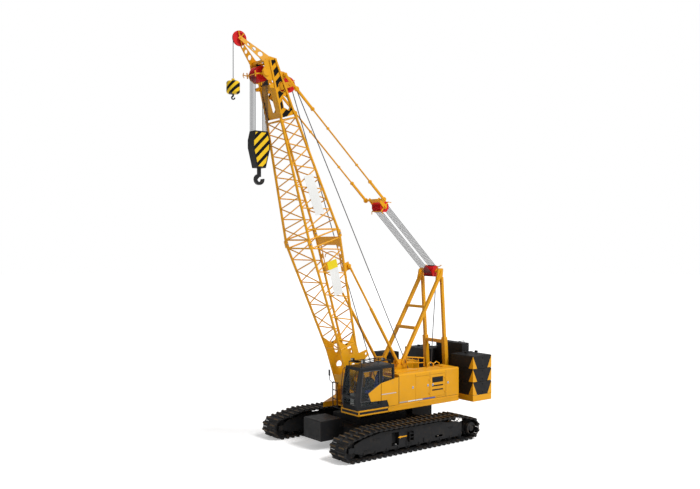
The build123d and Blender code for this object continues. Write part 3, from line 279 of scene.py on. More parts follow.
def dressed(node, body, material, smooth=35, bevel=0.0, reshape=None):
    """A CAD node's own shape with welded faces and softened edges, shown instead of it."""
    source = NODES[node]
    mesh = source.data.copy()
    mesh.name = node + "_skin"
    mesh.transform(source.matrix_world)
    work = bmesh.new()
    work.from_mesh(mesh)
    if reshape:
        for corner in work.verts:
            corner.co = reshape(corner.co)
    bmesh.ops.remove_doubles(work, verts=work.verts, dist=2e-5)
    bmesh.ops.dissolve_limit(
        work, angle_limit=math.radians(1.0), verts=work.verts, edges=work.edges, delimit={"NORMAL"}
    )
    bmesh.ops.recalc_face_normals(work, faces=work.faces)
    work.to_mesh(mesh)
    work.free()
    if mesh.has_custom_normals:
        mesh.attributes.remove(mesh.attributes["custom_normal"])
    mesh.materials.clear()
    mesh.materials.append(material)
    shade(mesh, smooth)
    thing = placed(node + "_skin", mesh)
    bevelled(thing, bevel, 1)
    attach(thing, body)
    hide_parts(node)
    return thing


# ---------------------------------------------------------------- finishes
class Finish:
    """Node material built step by step."""

    def __init__(self, name):
        self.material = bpy.data.materials.new(name)
        self.material.use_nodes = True
        self.nodes = self.material.node_tree.nodes
        self.links = self.material.node_tree.links
        self.shader = self.nodes["Principled BSDF"]
        self.place = self.nodes.new("ShaderNodeTexCoord").outputs["Object"]

    def link(self, source, target):
        self.links.new(source, target)

    def noise(self, scale, detail=3.0):
        node = self.nodes.new("ShaderNodeTexNoise")
        node.inputs["Scale"].default_value = scale
        node.inputs["Detail"].default_value = detail
        self.link(self.place, node.inputs["Vector"])
        return node.outputs["Fac"]

    def span(self, source, low, high, to_low=0.0, to_high=1.0):
        node = self.nodes.new("ShaderNodeMapRange")
        node.inputs["From Min"].default_value = low
        node.inputs["From Max"].default_value = high
        node.inputs["To Min"].default_value = to_low
        node.inputs["To Max"].default_value = to_high
        self.link(source, node.inputs["Value"])
        return node.outputs["Result"]

    def maths(self, kind, a, b):
        """Result of a step of sums on two sockets or numbers."""
        node = self.nodes.new("ShaderNodeMath")
        node.operation = kind
        for socket, value in ((node.inputs[0], a), (node.inputs[1], b)):
            if isinstance(value, (int, float)):
                socket.default_value = value
            else:
                self.link(value, socket)
        return node.outputs[0]

    def mix(self, share, a, b):
        """Colour between a and b; each is a colour or a socket."""
        node = self.nodes.new("ShaderNodeMix")
        node.data_type = "RGBA"
        if isinstance(share, (int, float)):
            node.inputs["Factor"].default_value = share
        else:
            self.link(share, node.inputs["Factor"])
        for label, value in (("A", a), ("B", b)):
            socket = next(s for s in node.inputs if s.name == label and s.type == "RGBA")
            if isinstance(value, tuple):
                socket.default_value = (*value, 1.0)
            else:
                self.link(value, socket)
        return next(s for s in node.outputs if s.type == "RGBA")

    def along(self, direction):
        """Distance of the point along a direction."""
        node = self.nodes.new("ShaderNodeVectorMath")
        node.operation = "DOT_PRODUCT"
        self.link(self.place, node.inputs[0])
        node.inputs[1].default_value = tuple(direction)
        return node.outputs["Value"]

    def bands(self, direction, pitch, share=0.5, start=0.0):
        """1 on the bands square to a direction, 0 between them."""
        step = self.maths("DIVIDE", self.maths("SUBTRACT", self.along(direction), start), pitch)
        return self.maths("LESS_THAN", self.maths("FRACT", step, 0.0), share)

    def done(self, colour, rough=(0.35, 0.5), bump=0.02, metal=0.0, grain=60.0, coat=0.0, shine=0.25):
        if isinstance(colour, tuple):
            self.shader.inputs["Base Color"].default_value = (*colour, 1.0)
        else:
            self.link(colour, self.shader.inputs["Base Color"])
        self.link(self.span(self.noise(7.0), 0.3, 0.7, *rough), self.shader.inputs["Roughness"])
        self.shader.inputs["Metallic"].default_value = metal
        self.shader.inputs["Coat Weight"].default_value = coat
        self.shader.inputs["Specular IOR Level"].default_value = shine
        node = self.nodes.new("ShaderNodeBump")
        node.inputs["Strength"].default_value = bump
        node.inputs["Distance"].default_value = 0.01
        self.link(self.noise(grain, 2.0), node.inputs["Height"])
        self.link(node.outputs["Normal"], self.shader.inputs["Normal"])
        return self.material


def aged(finish, colour, shift=0.9, dirt=(0.30, 0.22, 0.13), amount=0.12):
    """Paint with slow changes of tone and a thin veil of dirt."""
    deeper = tuple(c * shift for c in colour)
    tone = finish.mix(finish.span(finish.noise(0.9), 0.35, 0.65), colour, deeper)
    veil = finish.span(finish.noise(5.0, 6.0), 0.52, 0.78, 0.0, amount)
    return finish.mix(veil, tone, dirt)


YELLOW_PAINT = (0.74, 0.335, 0.004)
BLACK_PAINT = (0.009, 0.009, 0.010)
LEMON_PAINT = (0.82, 0.52, 0.015)


def paint(name, colour, rough=(0.34, 0.46), coat=0.03, **ageing):
    finish = Finish(name)
    return finish.done(aged(finish, colour, **ageing), rough=rough, bump=0.03, coat=coat)


def striped(name, direction, pitch, share=0.5, start=0.0, ground=YELLOW_PAINT):
    """Yellow paint with black bands."""
    finish = Finish(name)
    both = finish.mix(finish.bands(direction, pitch, share, start), aged(finish, ground), (0.003, 0.003, 0.004))
    return finish.done(both, rough=(0.4, 0.5), bump=0.03, shine=0.15)


def rope_finish(name, direction):
    """Laid wire rope: fine bands across its run, painted light and shade of its strands."""
    finish = Finish(name)
    strand_shade = finish.maths("SINE", finish.maths("MULTIPLY", finish.along(direction), 160.0), 0.0)
    colour = finish.mix(finish.span(strand_shade, -1.0, 1.0), (0.05, 0.05, 0.053), (0.07, 0.07, 0.073))
    return finish.done(colour, rough=(0.6, 0.75), bump=0.0)


def pane(name, tint, clear):
    finish = Finish(name)
    colour = finish.mix(finish.span(finish.noise(1.5), 0.3, 0.7), tint, tuple(c * 0.92 for c in tint))
    material = finish.done(colour, rough=(0.02, 0.06), bump=0.0, shine=0.12)
    finish.shader.inputs["IOR"].default_value = 1.45
    through = finish.nodes.new("ShaderNodeBsdfTransparent")
    through.inputs["Color"].default_value = (0.92, 0.94, 0.94, 1.0)
    blend = finish.nodes.new("ShaderNodeMixShader")
    blend.inputs["Fac"].default_value = clear
    out = finish.nodes["Material Output"]
    finish.link(finish.shader.outputs["BSDF"], blend.inputs[1])
    finish.link(through.outputs["BSDF"], blend.inputs[2])
    finish.link(blend.outputs["Shader"], out.inputs["Surface"])
    return material


YELLOW = paint("yellow_paint", YELLOW_PAINT)
BLACK = paint("black_paint", BLACK_PAINT, rough=(0.45, 0.6), coat=0.0, dirt=(0.07, 0.05, 0.03), amount=0.2)
CAB_BLACK = paint("cab_black", (0.009, 0.010, 0.012), rough=(0.35, 0.45), coat=0.05, amount=0.03)
TRIM = paint("cab_trim_plastic", (0.07, 0.07, 0.074), rough=(0.55, 0.7), coat=0.0, amount=0.05)
RED = paint("red_paint", (0.62, 0.010, 0.012), rough=(0.35, 0.45), coat=0.1, amount=0.05)
TRACK = paint("track_steel", (0.010, 0.010, 0.011), rough=(0.45, 0.6), coat=0.0, dirt=(0.12, 0.07, 0.03), amount=0.3)
STEEL = Finish("bright_steel")
STEEL = STEEL.done(aged(STEEL, (0.45, 0.45, 0.46), amount=0.1), rough=(0.25, 0.4), metal=0.7)
HOOK = paint("hook_paint", (0.016, 0.016, 0.017), rough=(0.35, 0.5))
GREY = paint("grey_strip", (0.38, 0.39, 0.40), rough=(0.4, 0.5))
WHITE = paint("white_board", (0.78, 0.78, 0.76), rough=(0.4, 0.5), amount=0.06)
SILVER = paint("silver_latch", (0.50, 0.53, 0.58), rough=(0.25, 0.35), amount=0.05)
LATCH_BLUE = paint("latch_grip", (0.10, 0.22, 0.45), rough=(0.3, 0.4), amount=0.05)
BLUE = paint("blue_stripe", (0.02, 0.10, 0.42), rough=(0.35, 0.45), amount=0.05)
# dark seams between panels, and painted shade in the louvre, the deck rim's slots and the counterweights' grooves
DARK_JOINTS_AND_SHADE = paint("dark_joints_and_painted_shade", (0.012, 0.013, 0.016), rough=(0.5, 0.7), coat=0.0)
ROPE = rope_finish("wire_rope", STAY_DIR + Y_AXIS * 0.6)
GLASS = pane("cab_pane", (0.16, 0.18, 0.19), 0.92)
LENS = pane("lamp_lens", (0.85, 0.86, 0.84), 0.35)
SEAT = Finish("seat_cloth")
SEAT = SEAT.done(aged(SEAT, (0.055, 0.085, 0.36), amount=0.05), rough=(0.8, 0.95), bump=0.3, grain=400.0)
HEAD_STRIPES = striped("head_stripes", (ALONG * 0.85 + AHEAD * 0.53).normalized(), 0.33, 0.60, 0.06)
BLOCK_STRIPES = striped("block_stripes", Vector((1, 0, 1)).normalized(), 0.26, 0.45, 0.02, LEMON_PAINT)
BALL_STRIPES = striped("ball_stripes", Vector((0.56, -0.43, 0.71)).normalized(), 0.2, 0.5, 0.05, LEMON_PAINT)
BOARD_YELLOW = paint("board_yellow", (0.80, 0.62, 0.01), amount=0.05)
LINING = paint("cab_lining_grey", (0.30, 0.29, 0.28), rough=(0.7, 0.8), coat=0.0, amount=0.05)
# brown of a painted reflection of the orange paint, for the tops of the shoes' bars, with a veil of dirt
ORANGE_REFLECTION = paint("painted_orange_reflection", (0.085, 0.05, 0.018), rough=(0.5, 0.6), coat=0.0, amount=0.4)


# ---------------------------------------------------------------- boom
def on_chord(section, sn, sy, s):
    s0, n0, y0, s1, n1, y1 = section
    t = (s - s0) / (s1 - s0)
    return on_boom(s, sn * (n0 + t * (n1 - n0)), sy * (y0 + t * (y1 - y0)))


CORNERS = ((1, 1), (1, -1), (-1, -1), (-1, 1))


def lattice(shape, section, bays):
    """Four chords, with zigzag lacing and end bars on the faces between them."""
    s0, s1 = section[0], section[3]
    for sn, sy in CORNERS:
        shape.rod(on_chord(section, sn, sy, s0), on_chord(section, sn, sy, s1), CHORD_R, 20)
    stations = [s0 + LACE_INSET + (s1 - s0 - 2 * LACE_INSET) * k / bays for k in range(bays + 1)]
    for face in range(4):
        a, b = CORNERS[face], CORNERS[(face + 1) % 4]
        for k in range(bays):
            first, second = (a, b) if k % 2 == 0 else (b, a)
            shape.rod(on_chord(section, *first, stations[k]), on_chord(section, *second, stations[k + 1]), LACE_R, 10)
        for s in (stations[0], stations[-1]):
            shape.rod(on_chord(section, *a, s), on_chord(section, *b, s), LACE_R + 0.006, 12)


def joint_blocks(shape, section, s, shift):
    """Blocks on the ends of the four chords."""
    for sn, sy in CORNERS:
        shape.slab(on_chord(section, sn, sy, s) + ALONG * shift, ALONG, AHEAD, (0.139, 0.14, 0.08))


# the rear plate's depth behind the middle at one place along the boom, and its growth from there
REAR_S, REAR_N, REAR_SLOPE = 5.0, 0.612, 0.0752
EAR_SLOPE = 0.0674


def rear_face(s, y):
    """Place on the plate behind the rear chords of the lower section."""
    return on_boom(s, -(REAR_N + REAR_SLOPE * (s - REAR_S)), y)


FOOT_N, FOOT_Y, PLATE_END = 0.38, 0.467, 2.07
foot_outline = [
    (0.0, -0.12), (0.35, -FOOT_N - 0.02), (1.15, -FOOT_N - 0.036), (1.30, -0.88), (1.54, -0.84),
    (1.56, -FOOT_N - 0.04), (PLATE_END + 0.39, -FOOT_N - 0.05), (PLATE_END + 0.09, -0.12),
    (PLATE_END + 0.09, 0.12), (PLATE_END + 0.39, FOOT_N + 0.05), (0.35, FOOT_N + 0.02), (0.0, 0.12),
    *[(0.12 * math.cos(t), 0.12 * math.sin(t)) for t in [math.pi * (0.5 + k / 8) for k in range(1, 8)]],
]
rear_outline = (
    (4.95, -0.74), (6.35, -0.80), (6.35, 0.80), (4.95, 0.74), (4.95, 0.50), (6.02, 0.52), (6.02, -0.52), (4.95, -0.50),
)
OVAL_R = 0.07

base = Shape()
lattice(base, BASE_SECTION, BASE_BAYS)
for side in (-1, 1):
    outer = side * (FOOT_Y + 0.03)
    holes = [
        circle(on_boom(s, n, outer), r, ALONG, AHEAD, 24)
        for s, n, r in ((0.64, 0, 0.13), (1.15, 0, 0.15), (0.0, 0, 0.0605), (1.4, -0.76, 0.06))
    ]
    holes.append([
        on_boom(s, -0.05, outer) + (ALONG * math.cos(t) + AHEAD * math.sin(t)) * 0.1
        for s, first in ((PLATE_END - 0.32, 0.5), (PLATE_END - 0.10, 1.5))
        for t in [math.pi * (first + k / 10) for k in range(11)]
    ])
    base.plate(boom_outline(foot_outline, outer), Y_AXIS * (-side * 0.06), holes)
for n in (-FOOT_N, FOOT_N):
    base.slab(on_boom(0.675, n), ALONG, Y_AXIS, (0.45, 2 * FOOT_Y, 0.03))
joint_blocks(base, BASE_SECTION, BASE_SECTION[3], -0.01)
lug_s, lug_n = BACKSTOP_PIN
for side in (-1, 1):
    base.slab(on_boom(lug_s, lug_n + 0.105, side * 0.6335), ALONG, AHEAD, (0.32, 0.33, 0.025))
    base.slab(on_boom(lug_s, lug_n + 0.225, side * 0.67), ALONG, AHEAD, (0.32, 0.09, 0.1))
ovals = []
for side in (-1, 1):
    for s0, s1 in ((5.20, 5.42), (5.72, 5.90)):
        ends = [(s1, math.radians(t)) for t in range(-90, 91, 30)]
        ends += [(s0, math.radians(t)) for t in range(90, 271, 30)]
        ovals.append([rear_face(s + OVAL_R * math.cos(t), side * 0.63 + OVAL_R * math.sin(t)) for s, t in ends])
base.plate([rear_face(s, y) for s, y in rear_outline], AHEAD * 0.014, ovals)
turns = [math.radians(degrees) for degrees in range(0, 181, 15)]
bracket = [on_boom(5.55 + 0.20 * math.sin(t), -0.66 - 0.10 * math.cos(t), 0.30 * math.cos(t)) for t in turns]
base.tube(bracket, 0.02, 8)
piece("boom_lower_tubes", base, "boom", YELLOW, smooth=38, bevel=0.004, swaps=("boom_base",))

top = Shape()
lattice(top, TOP_SECTION, TOP_BAYS)
joint_blocks(top, TOP_SECTION, TOP_SECTION[0], 0.01)
for side in (-1, 1):
    for n0, n1, n2 in ((-0.79, -0.70, -0.63), (0.63, 0.70, 0.78)):
        ear = ((6.50, n0), (7.15, n1 - 0.02), (7.15, n1 + 0.02), (6.50, n2))
        slanted = [on_boom(s, n, side * (0.80 - EAR_SLOPE * (s - TOP_SECTION[0]))) for s, n in ear]
        top.plate(slanted, Y_AXIS * (side * 0.02))
piece("boom_upper_tubes", top, "boom", YELLOW, smooth=38, bevel=0.004, swaps=("boom_top",))

# blank boards on the near side of the boom as (name, s, s, n, n, y, y, material)
for word, s0, s1, n0, n1, ya, yb, material in (
    ("board_upper", 7.45, 9.0, -0.28, 0.14, 0.81, 0.705, WHITE),
    ("board_lower", 4.2, 5.27, -0.26, 0.16, 0.70, 0.78, WHITE),
    ("board_square", 5.27, 5.60, -0.28, 0.18, 0.781, 0.806, BOARD_YELLOW),
):
    board = Shape()
    board.plate([on_boom(s0, n0, ya), on_boom(s1, n0, yb), on_boom(s1, n1, yb), on_boom(s0, n1, ya)], Y_AXIS * 0.008)
    piece(word, board, "boom", material, bevel=0.001)

joint_pins = Shape()
for sn, sy in CORNERS:
    pin = on_chord(BASE_SECTION, sn, sy, BASE_SECTION[3]) + ALONG * 0.06
    joint_pins.disc(pin, 0.028, 0.17, Y_AXIS, 16)
piece("joint_pins", joint_pins, "boom", STEEL, bevel=0.004)

HEAD_S = (11.31, 13.47)
HEAD_PLATE_Y = (0.47, 0.51)
LINK_PIN = (12.81, -0.29)         # front pin of the short links that hold the stays
web_outline = [(HEAD_S[0], -0.30), (HEAD_S[1], -0.09), (HEAD_S[1] + 0.05, 0.08), (HEAD_S[1], 0.17), (HEAD_S[0], 0.30)]
# plain plates that stand out past the webs: bearing of the main sheaves, small bearing, stay lug
side_plates = (
    (
        (12.70, 0.20), (12.77, 0.45), (12.96, 0.59), (13.14, 0.59), (13.28, 0.44), (13.47, 0.42), (13.58, 0.11),
        (13.47, -0.12), (13.42, -0.12), (13.44, 0.16),
    ),
    ((12.43, 0.22), (12.47, 0.45), (12.59, 0.45), (12.62, 0.20)),
    ((12.64, -0.18), (12.71, -0.35), (12.91, -0.35), (12.99, -0.14)),
)
head_windows = (
    ((11.52, -0.09), (11.66, -0.20), (11.96, -0.18), (12.09, -0.05), (11.96, 0.07), (11.66, 0.09)),
    ((12.20, -0.05), (12.30, -0.15), (12.50, -0.14), (12.59, -0.04), (12.50, 0.06), (12.30, 0.07)),
)
head_plates = Shape()
head_frame = Shape()
for side in (-1, 1):
    inner, face = side * HEAD_PLATE_Y[0], side * HEAD_PLATE_Y[1]
    windows = [boom_outline(window, inner) for window in head_windows]
    head_plates.plate(boom_outline(web_outline, inner), Y_AXIS * (side * 0.04), windows)
    for outline in side_plates:
        head_frame.plate(boom_outline(outline, inner - side * 0.001), Y_AXIS * (side * 0.045))
    head_frame.disc(on_boom(*HEAD_SHEAVE, side * 0.53), 0.13, 0.04, Y_AXIS, 24)
    link_ends = (on_boom(*PENDANT_PIN, side * PENDANT_Y), on_boom(*LINK_PIN, side * PENDANT_Y))
    run = link_ends[1] - link_ends[0]
    for off in (-0.04, 0.04):
        head_frame.slab(link_ends[0].lerp(link_ends[1], 0.5) + Y_AXIS * off, run, Y_AXIS, (run.length, 0.014, 0.075))
    for end in link_ends:
        head_frame.disc(end, 0.07, 0.10, Y_AXIS, 20)
    head_frame.disc(on_boom(*LINK_PIN, side * 0.56), 0.035, 0.20, Y_AXIS, 16)
    # raised rims along the rear and the front edge
    for n0, n1 in ((-0.335, -0.12), (0.265, 0.13)):
        rim = [(HEAD_S[0], n0), (HEAD_S[1], n1), (HEAD_S[1], n1 + 0.07), (HEAD_S[0], n0 + 0.07)]
        head_frame.plate(boom_outline(rim, inner), Y_AXIS * (side * 0.08))
    # rims round the windows
    for window in head_windows:
        mid_s = sum(s for s, n in window) / len(window)
        mid_n = sum(n for s, n in window) / len(window)
        wide = [(mid_s + (s - mid_s) * 1.12, mid_n + (n - mid_n) * 1.2) for s, n in window]
        head_frame.plate(boom_outline(wide, face), Y_AXIS * (side * 0.014), [boom_outline(window, face)])
    # inner plate that carries the guide sheaves
    guide_s, guide_n = GUIDE_SHEAVE
    hanger = [
        (guide_s - 0.16, 0.225), (guide_s + 0.13, 0.225),
        (guide_s + 0.10, guide_n - 0.09), (guide_s - 0.10, guide_n - 0.09),
    ]
    head_frame.plate(boom_outline(hanger, side * 0.21), Y_AXIS * (side * 0.03))
    # tapered arm of the tip sheave
    root = on_boom(13.50, 0.265, side * 0.475)
    tip = on_boom(*TIP_SHEAVE, side * 0.09)
    reach = (tip - root).length
    arm_x = (tip - root).normalized()
    arm_z = (Y_AXIS - arm_x * arm_x.dot(Y_AXIS)).normalized()
    arm_y = arm_z.cross(arm_x)
    arm_outline = [(-0.02, -0.165), (reach + 0.07, -0.062), (reach + 0.07, 0.062), (-0.02, 0.165)]
    start = root - arm_z * 0.015
    head_frame.plate(
        [start + arm_x * a + arm_y * b for a, b in arm_outline], arm_z * 0.03,
        [
            circle(start + arm_x * (share * reach), r, arm_x, arm_y, 24)
            for share, r in ((0.25, 0.095), (0.49, 0.075), (0.70, 0.055))
        ],
    )
FRONT_N = 0.205
front_plate = ((HEAD_S[0], -0.49), (12.60, -0.49), (12.60, 0.49), (HEAD_S[0], 0.49))
front_slot = ((11.55, -0.11), (12.37, -0.11), (12.37, 0.11), (11.55, 0.11))
slot_edge = [on_boom(s, FRONT_N, y) for s, y in front_slot]
head_frame.plate([on_boom(s, FRONT_N, y) for s, y in front_plate], AHEAD * 0.03, [slot_edge])
for s, n in ((11.42, -0.29), (HEAD_S[1] - 0.08, -0.06)):
    head_frame.slab(on_boom(s, n), ALONG, Y_AXIS, (0.08, 0.98, 0.05))
head_frame.slab(on_boom(HEAD_S[1] + 0.025, 0.195), ALONG, Y_AXIS, (0.09, 0.98, 0.27))
for (s, n), r, half_y in ((HEAD_SHEAVE, 0.06, 0.53), (GUIDE_SHEAVE, 0.045, 0.255), (TIP_SHEAVE, 0.04, 0.12)):
    head_frame.disc(on_boom(s, n), r, 2 * half_y, Y_AXIS, 24)
piece("head_side_plates", head_plates, "boom", HEAD_STRIPES, smooth=30, bevel=0.004, swaps=("boom_head",))
piece("head_frame", head_frame, "boom", YELLOW, smooth=30, bevel=0.004)


# ---------------------------------------------------------------- rope wheels
def wheel(shape, centre, rope_r, width=0.066, hub_r=0.09):
    """Grooved rope wheel with a thin web and a hub."""
    half = width / 2
    rim, groove, inner = rope_r + 0.022, rope_r - 0.014, rope_r - 0.06
    profile = (
        (hub_r * 0.6, -half), (hub_r, -half), (hub_r, -0.012), (inner, -0.012), (inner, -half), (rim, -half),
        (rim, -half * 0.72), (groove + 0.006, -0.012), (groove, 0.0), (groove + 0.006, 0.012),
        (rim, half * 0.72), (rim, half), (inner, half), (inner, 0.012), (hub_r, 0.012), (hub_r, half),
        (hub_r * 0.6, half),
    )
    shape.turned(profile, centre, Y_AXIS, 48, closed=True)


head_wheels = Shape()
for y in HEAD_SHEAVE_YS:
    wheel(head_wheels, on_boom(*HEAD_SHEAVE, y), HEAD_SHEAVE_R, hub_r=0.1)
for y in GUIDE_SHEAVE_YS:
    wheel(head_wheels, on_boom(*GUIDE_SHEAVE, y), GUIDE_SHEAVE_R)
wheel(head_wheels, on_boom(*TIP_SHEAVE, 0), TIP_SHEAVE_R, hub_r=0.08)
piece("head_rope_wheels", head_wheels, "boom", RED, smooth=30, swaps=("head_sheaves",))

guards = Shape()
tip_centre = on_boom(*TIP_SHEAVE)
GUARD_R = 0.262
GUARD_TURNS = (75, 130, 200, 255)
for side in (-1, 1):
    for out in (spoke(degrees) for degrees in GUARD_TURNS):
        middle = tip_centre + Y_AXIS * (side * 0.062) + out * (GUARD_R / 2)
        guards.slab(middle, out, Y_AXIS, (GUARD_R, 0.012, 0.035))
    hoop = [tip_centre + Y_AXIS * (side * 0.066) + spoke(degrees) * GUARD_R for degrees in range(200, 261, 10)]
    guards.tube(hoop, 0.012, 8)
for degrees in GUARD_TURNS:
    guards.disc(tip_centre + spoke(degrees) * GUARD_R, 0.014, 0.13, Y_AXIS, 10)
main_centre = on_boom(*HEAD_SHEAVE)
for side in (-1, 1):
    # bar with a cross end over the rope wheels, and a hooked one ahead of them
    root = main_centre + Y_AXIS * (side * 0.29)
    end = root + Vector((0.33, 0, -0.05))
    guards.slab(root.lerp(end, 0.5), end - root, Y_AXIS, (0.34, 0.03, 0.05))
    guards.slab(end, Vector((0.12, 0, 1)), Y_AXIS, (0.22, 0.03, 0.04))
for bar, radius in (
    (((0, -0.29, 0), (0, 0.29, 0)), 0.018),
    (((0, -0.29, 0), (0.16, -0.29, 0.02)), 0.02),
    (((0.14, -0.29, 0.10), (0.17, -0.29, 0.04), (0.17, -0.29, -0.02), (0.12, -0.29, -0.09)), 0.016),
):
    guards.tube([main_centre + Vector((0.34 + x, y, z - 0.06)) for x, y, z in bar], radius, 10)
guide_centre = on_boom(*GUIDE_SHEAVE)
guide_bar = guide_centre - AHEAD * 0.31 + ALONG * 0.10
for side in (-1, 1):
    guards.tube([guide_centre + Y_AXIS * (side * 0.17), guide_bar + Y_AXIS * (side * 0.17)], 0.02, 10)
guards.tube([guide_bar - Y_AXIS * 0.17, guide_bar + Y_AXIS * 0.17], 0.016, 10)
piece("head_rope_guards", guards, "boom", YELLOW, smooth=35, bevel=0.003)

links = Shape()
for side in (-1, 1):
    y = Y_AXIS * (side * PENDANT_Y)
    for end, way in ((PENDANT_TOP, -1), (YOKE, 1)):
        near = end + STAY_DIR * (way * 0.08) + y
        far = end + STAY_DIR * (way * 1.0) + y
        for off in (-0.022, 0.022):
            links.slab(near.lerp(far, 0.5) + Y_AXIS * off, STAY_DIR, Y_AXIS, (0.92, 0.014, 0.095))
        links.disc(far, 0.075, 0.07, Y_AXIS, 20)
        links.disc(far, 0.03, 0.11, Y_AXIS, 14)
    for share in (0.33, 0.66):
        links.disc(YOKE.lerp(PENDANT_TOP, share) + y, 0.055, 0.06, Y_AXIS, 16)
piece("stay_links", links, "stays", YELLOW, smooth=30, bevel=0.003)


def by_apex(x, y, z):
    return APEX + Vector((x, y, z))


COWL_Y = 0.262
cowl = Shape()
cowl_face = (
    (0.19, -0.215), (0.19, 0.06), (0.15, 0.215), (-0.03, 0.245), (-0.15, 0.19), (-0.215, 0.05), (-0.20, -0.12),
    (-0.06, -0.235),
)
for side in (-1, 1):
    cowl.plate([by_apex(x, side * COWL_Y, z) for x, z in cowl_face], Y_AXIS * (side * 0.010))
around = [cowl_face[k] for k in (3, 4, 5, 6, 7, 0)]
around += [(x * 1.04, z * 1.04) for x, z in reversed(around)]
cowl.skin([[by_apex(x, y, z) for x, z in around] for y in (-COWL_Y, COWL_Y)])
piece("apex_cowl", cowl, "upper", RED, smooth=20, bevel=0.003)
cowl_rail = Shape()
rail = ((0.0, 0.28, 0.0), (-0.12, 0.30, 0.20), (-0.14, 0.40, 0.22), (-0.12, 0.50, 0.26))
for side in (-1, 1):
    cowl_rail.tube([by_apex(x, side * y, z) for x, y, z in rail], 0.02, 10)
cowl_rail.tube([by_apex(-0.12, -0.30, 0.20), by_apex(-0.12, 0.30, 0.20)], 0.02, 10)
cowl_rail.disc(APEX, 0.05, 1.24, Y_AXIS, 24)
piece("apex_guard", cowl_rail, "upper", YELLOW, bevel=0.002)

for name, centre, rope_r, hub_r, body, swaps in (
    ("apex_rope_wheels", APEX, APEX_SHEAVE_R, 0.09, "upper", ("apex_sheaves",)),
    ("bridle_rope_wheels", BRIDLE, BRIDLE_SHEAVE_R, 0.075, "stays", ()),
):
    wheels = Shape()
    for y in LUFF_YS:
        wheel(wheels, Vector((centre.x, y, centre.z)), rope_r, 0.052, hub_r)
    piece(name, wheels, body, RED, smooth=30, swaps=swaps)

cage = Shape()
covers = Shape()


def by_bridle(a, b, y):
    return BRIDLE + STAY_DIR * a + STAY_UP * b + Y_AXIS * y


arm = (
    (-0.09, -0.05), (-0.05, -0.09), (0.05, -0.09), (0.48, -0.055), (0.48, 0.055), (0.05, 0.09), (-0.05, 0.09),
    (-0.09, 0.05),
)
cover = (
    (-0.22, -0.09), (-0.10, -0.22), (0.10, -0.22), (0.22, -0.09), (0.22, 0.09), (0.10, 0.22), (-0.10, 0.22),
    (-0.22, 0.09),
)
hood = (
    (0.23, -0.12), (0.24, 0.0), (0.23, 0.12), (0.10, 0.225), (-0.04, 0.235), (-0.04, 0.228), (0.095, 0.215),
    (0.22, 0.115), (0.23, 0.0), (0.22, -0.115),
)
cross_bar = ((-0.10, 0.33, -0.36), (0.0, 0.27, -0.32), (0.0, 0.27, 0.32), (-0.10, 0.33, 0.36))
COVER_Y = 0.268
for side in (-1, 1):
    cage.plate([by_bridle(a, b, side * 0.285) for a, b in arm], Y_AXIS * (side * 0.035))
    covers.plate([by_bridle(a, b, side * COVER_Y) for a, b in cover], Y_AXIS * (side * 0.010))
    for over in (-1, 1):
        tongue = ((-0.03, 0), (-0.02, over * 0.27), (0.02, over * 0.27), (0.03, 0))
        cage.plate([by_bridle(a, b, side * 0.282) for a, b in tongue], Y_AXIS * (side * 0.02))
# bars across the sheaves with turned-up ends
for over in (-1, 1):
    cage.tube([by_bridle(a, over * b, y) for a, b, y in cross_bar], 0.018, 10)
cage.tube([by_bridle(0.30, 0.0, -0.30), by_bridle(0.30, 0.0, 0.30)], 0.03, 12)
covers.skin([[by_bridle(a, b, y) for a, b in hood] for y in (-COVER_Y, COVER_Y)])
cage.disc(BRIDLE, 0.045, 0.74, Y_AXIS, 24)
cage.disc(YOKE, 0.045, 2 * (PENDANT_Y + 0.05), Y_AXIS, 24)
piece("bridle_covers", covers, "stays", RED, smooth=20, bevel=0.003)
piece("bridle_cage", cage, "stays", YELLOW, smooth=30, bevel=0.004, swaps=("bridle",))


# ---------------------------------------------------------------- other CAD nodes, welded and with softened edges
for node, body, material, slot, bevel in (
    ("carbody", "base", BLACK, "black", 0.008),
    ("slew_ring", "base", BLACK, "black", 0.006),
    ("base_weights", "base", BLACK, "black", 0.01),
    ("track_frame_left", "base", BLACK, "black", 0.006),
    ("track_frame_right", "base", BLACK, "black", 0.006),
    ("end_wheels_left", "base", TRACK, "track_steel", 0.006),
    ("end_wheels_right", "base", TRACK, "track_steel", 0.006),
    ("backstop_seats", "upper", YELLOW, "yellow", 0.003),
    ("winches", "upper", BLACK, "black", 0.004),
    ("house_left", "upper", YELLOW, "yellow", 0.004),
    ("house_door_left_rear", "door_left_rear", YELLOW, "yellow", 0.004),
    ("house_door_left_front", "door_left_front", YELLOW, "yellow", 0.004),
    ("house_door_right", "door_right", YELLOW, "yellow", 0.004),
    ("cab_shell", "upper", CAB_BLACK, "cab_paint", 0.006),
    ("cab_door", "cab_door", CAB_BLACK, "cab_paint", 0.004),
    ("cab_roof_guard", "upper", CAB_BLACK, "black", 0.003),
    ("cab_fittings", "upper", TRIM, "cab_trim", 0.015),
    ("counterweight_tray", "upper", YELLOW, "yellow", 0.01),
    ("counterweight_centre", "upper", BLACK, "black", 0.006),
    ("a_frame_front", "upper", YELLOW, "yellow", 0.006),
    ("a_frame_rear", "upper", YELLOW, "yellow", 0.006),
    ("pendants", "stays", YELLOW, "yellow", 0.003),
    ("backstop_tubes", "backstop_tubes", YELLOW, "yellow", 0.003),
    ("backstop_rods", "backstop_rods", YELLOW, "yellow", 0.003),
    ("main_block", "main_tackle", BLOCK_STRIPES, "yellow", 0.02),
    ("aux_ball", "aux_line", BALL_STRIPES, "yellow", 0.01),
):
    dressed(node, body, material, bevel=bevel)

RIGHT_FRONT_X = 0.5               # front end of the right house and of the deck under it
RIGHT_FRONT_CAD_X = 1.15


def shorter_house(place):
    x = place.x - SLEW_X
    return Vector((place.x - (RIGHT_FRONT_CAD_X - RIGHT_FRONT_X) if x > 0.3 else place.x, place.y, place.z))


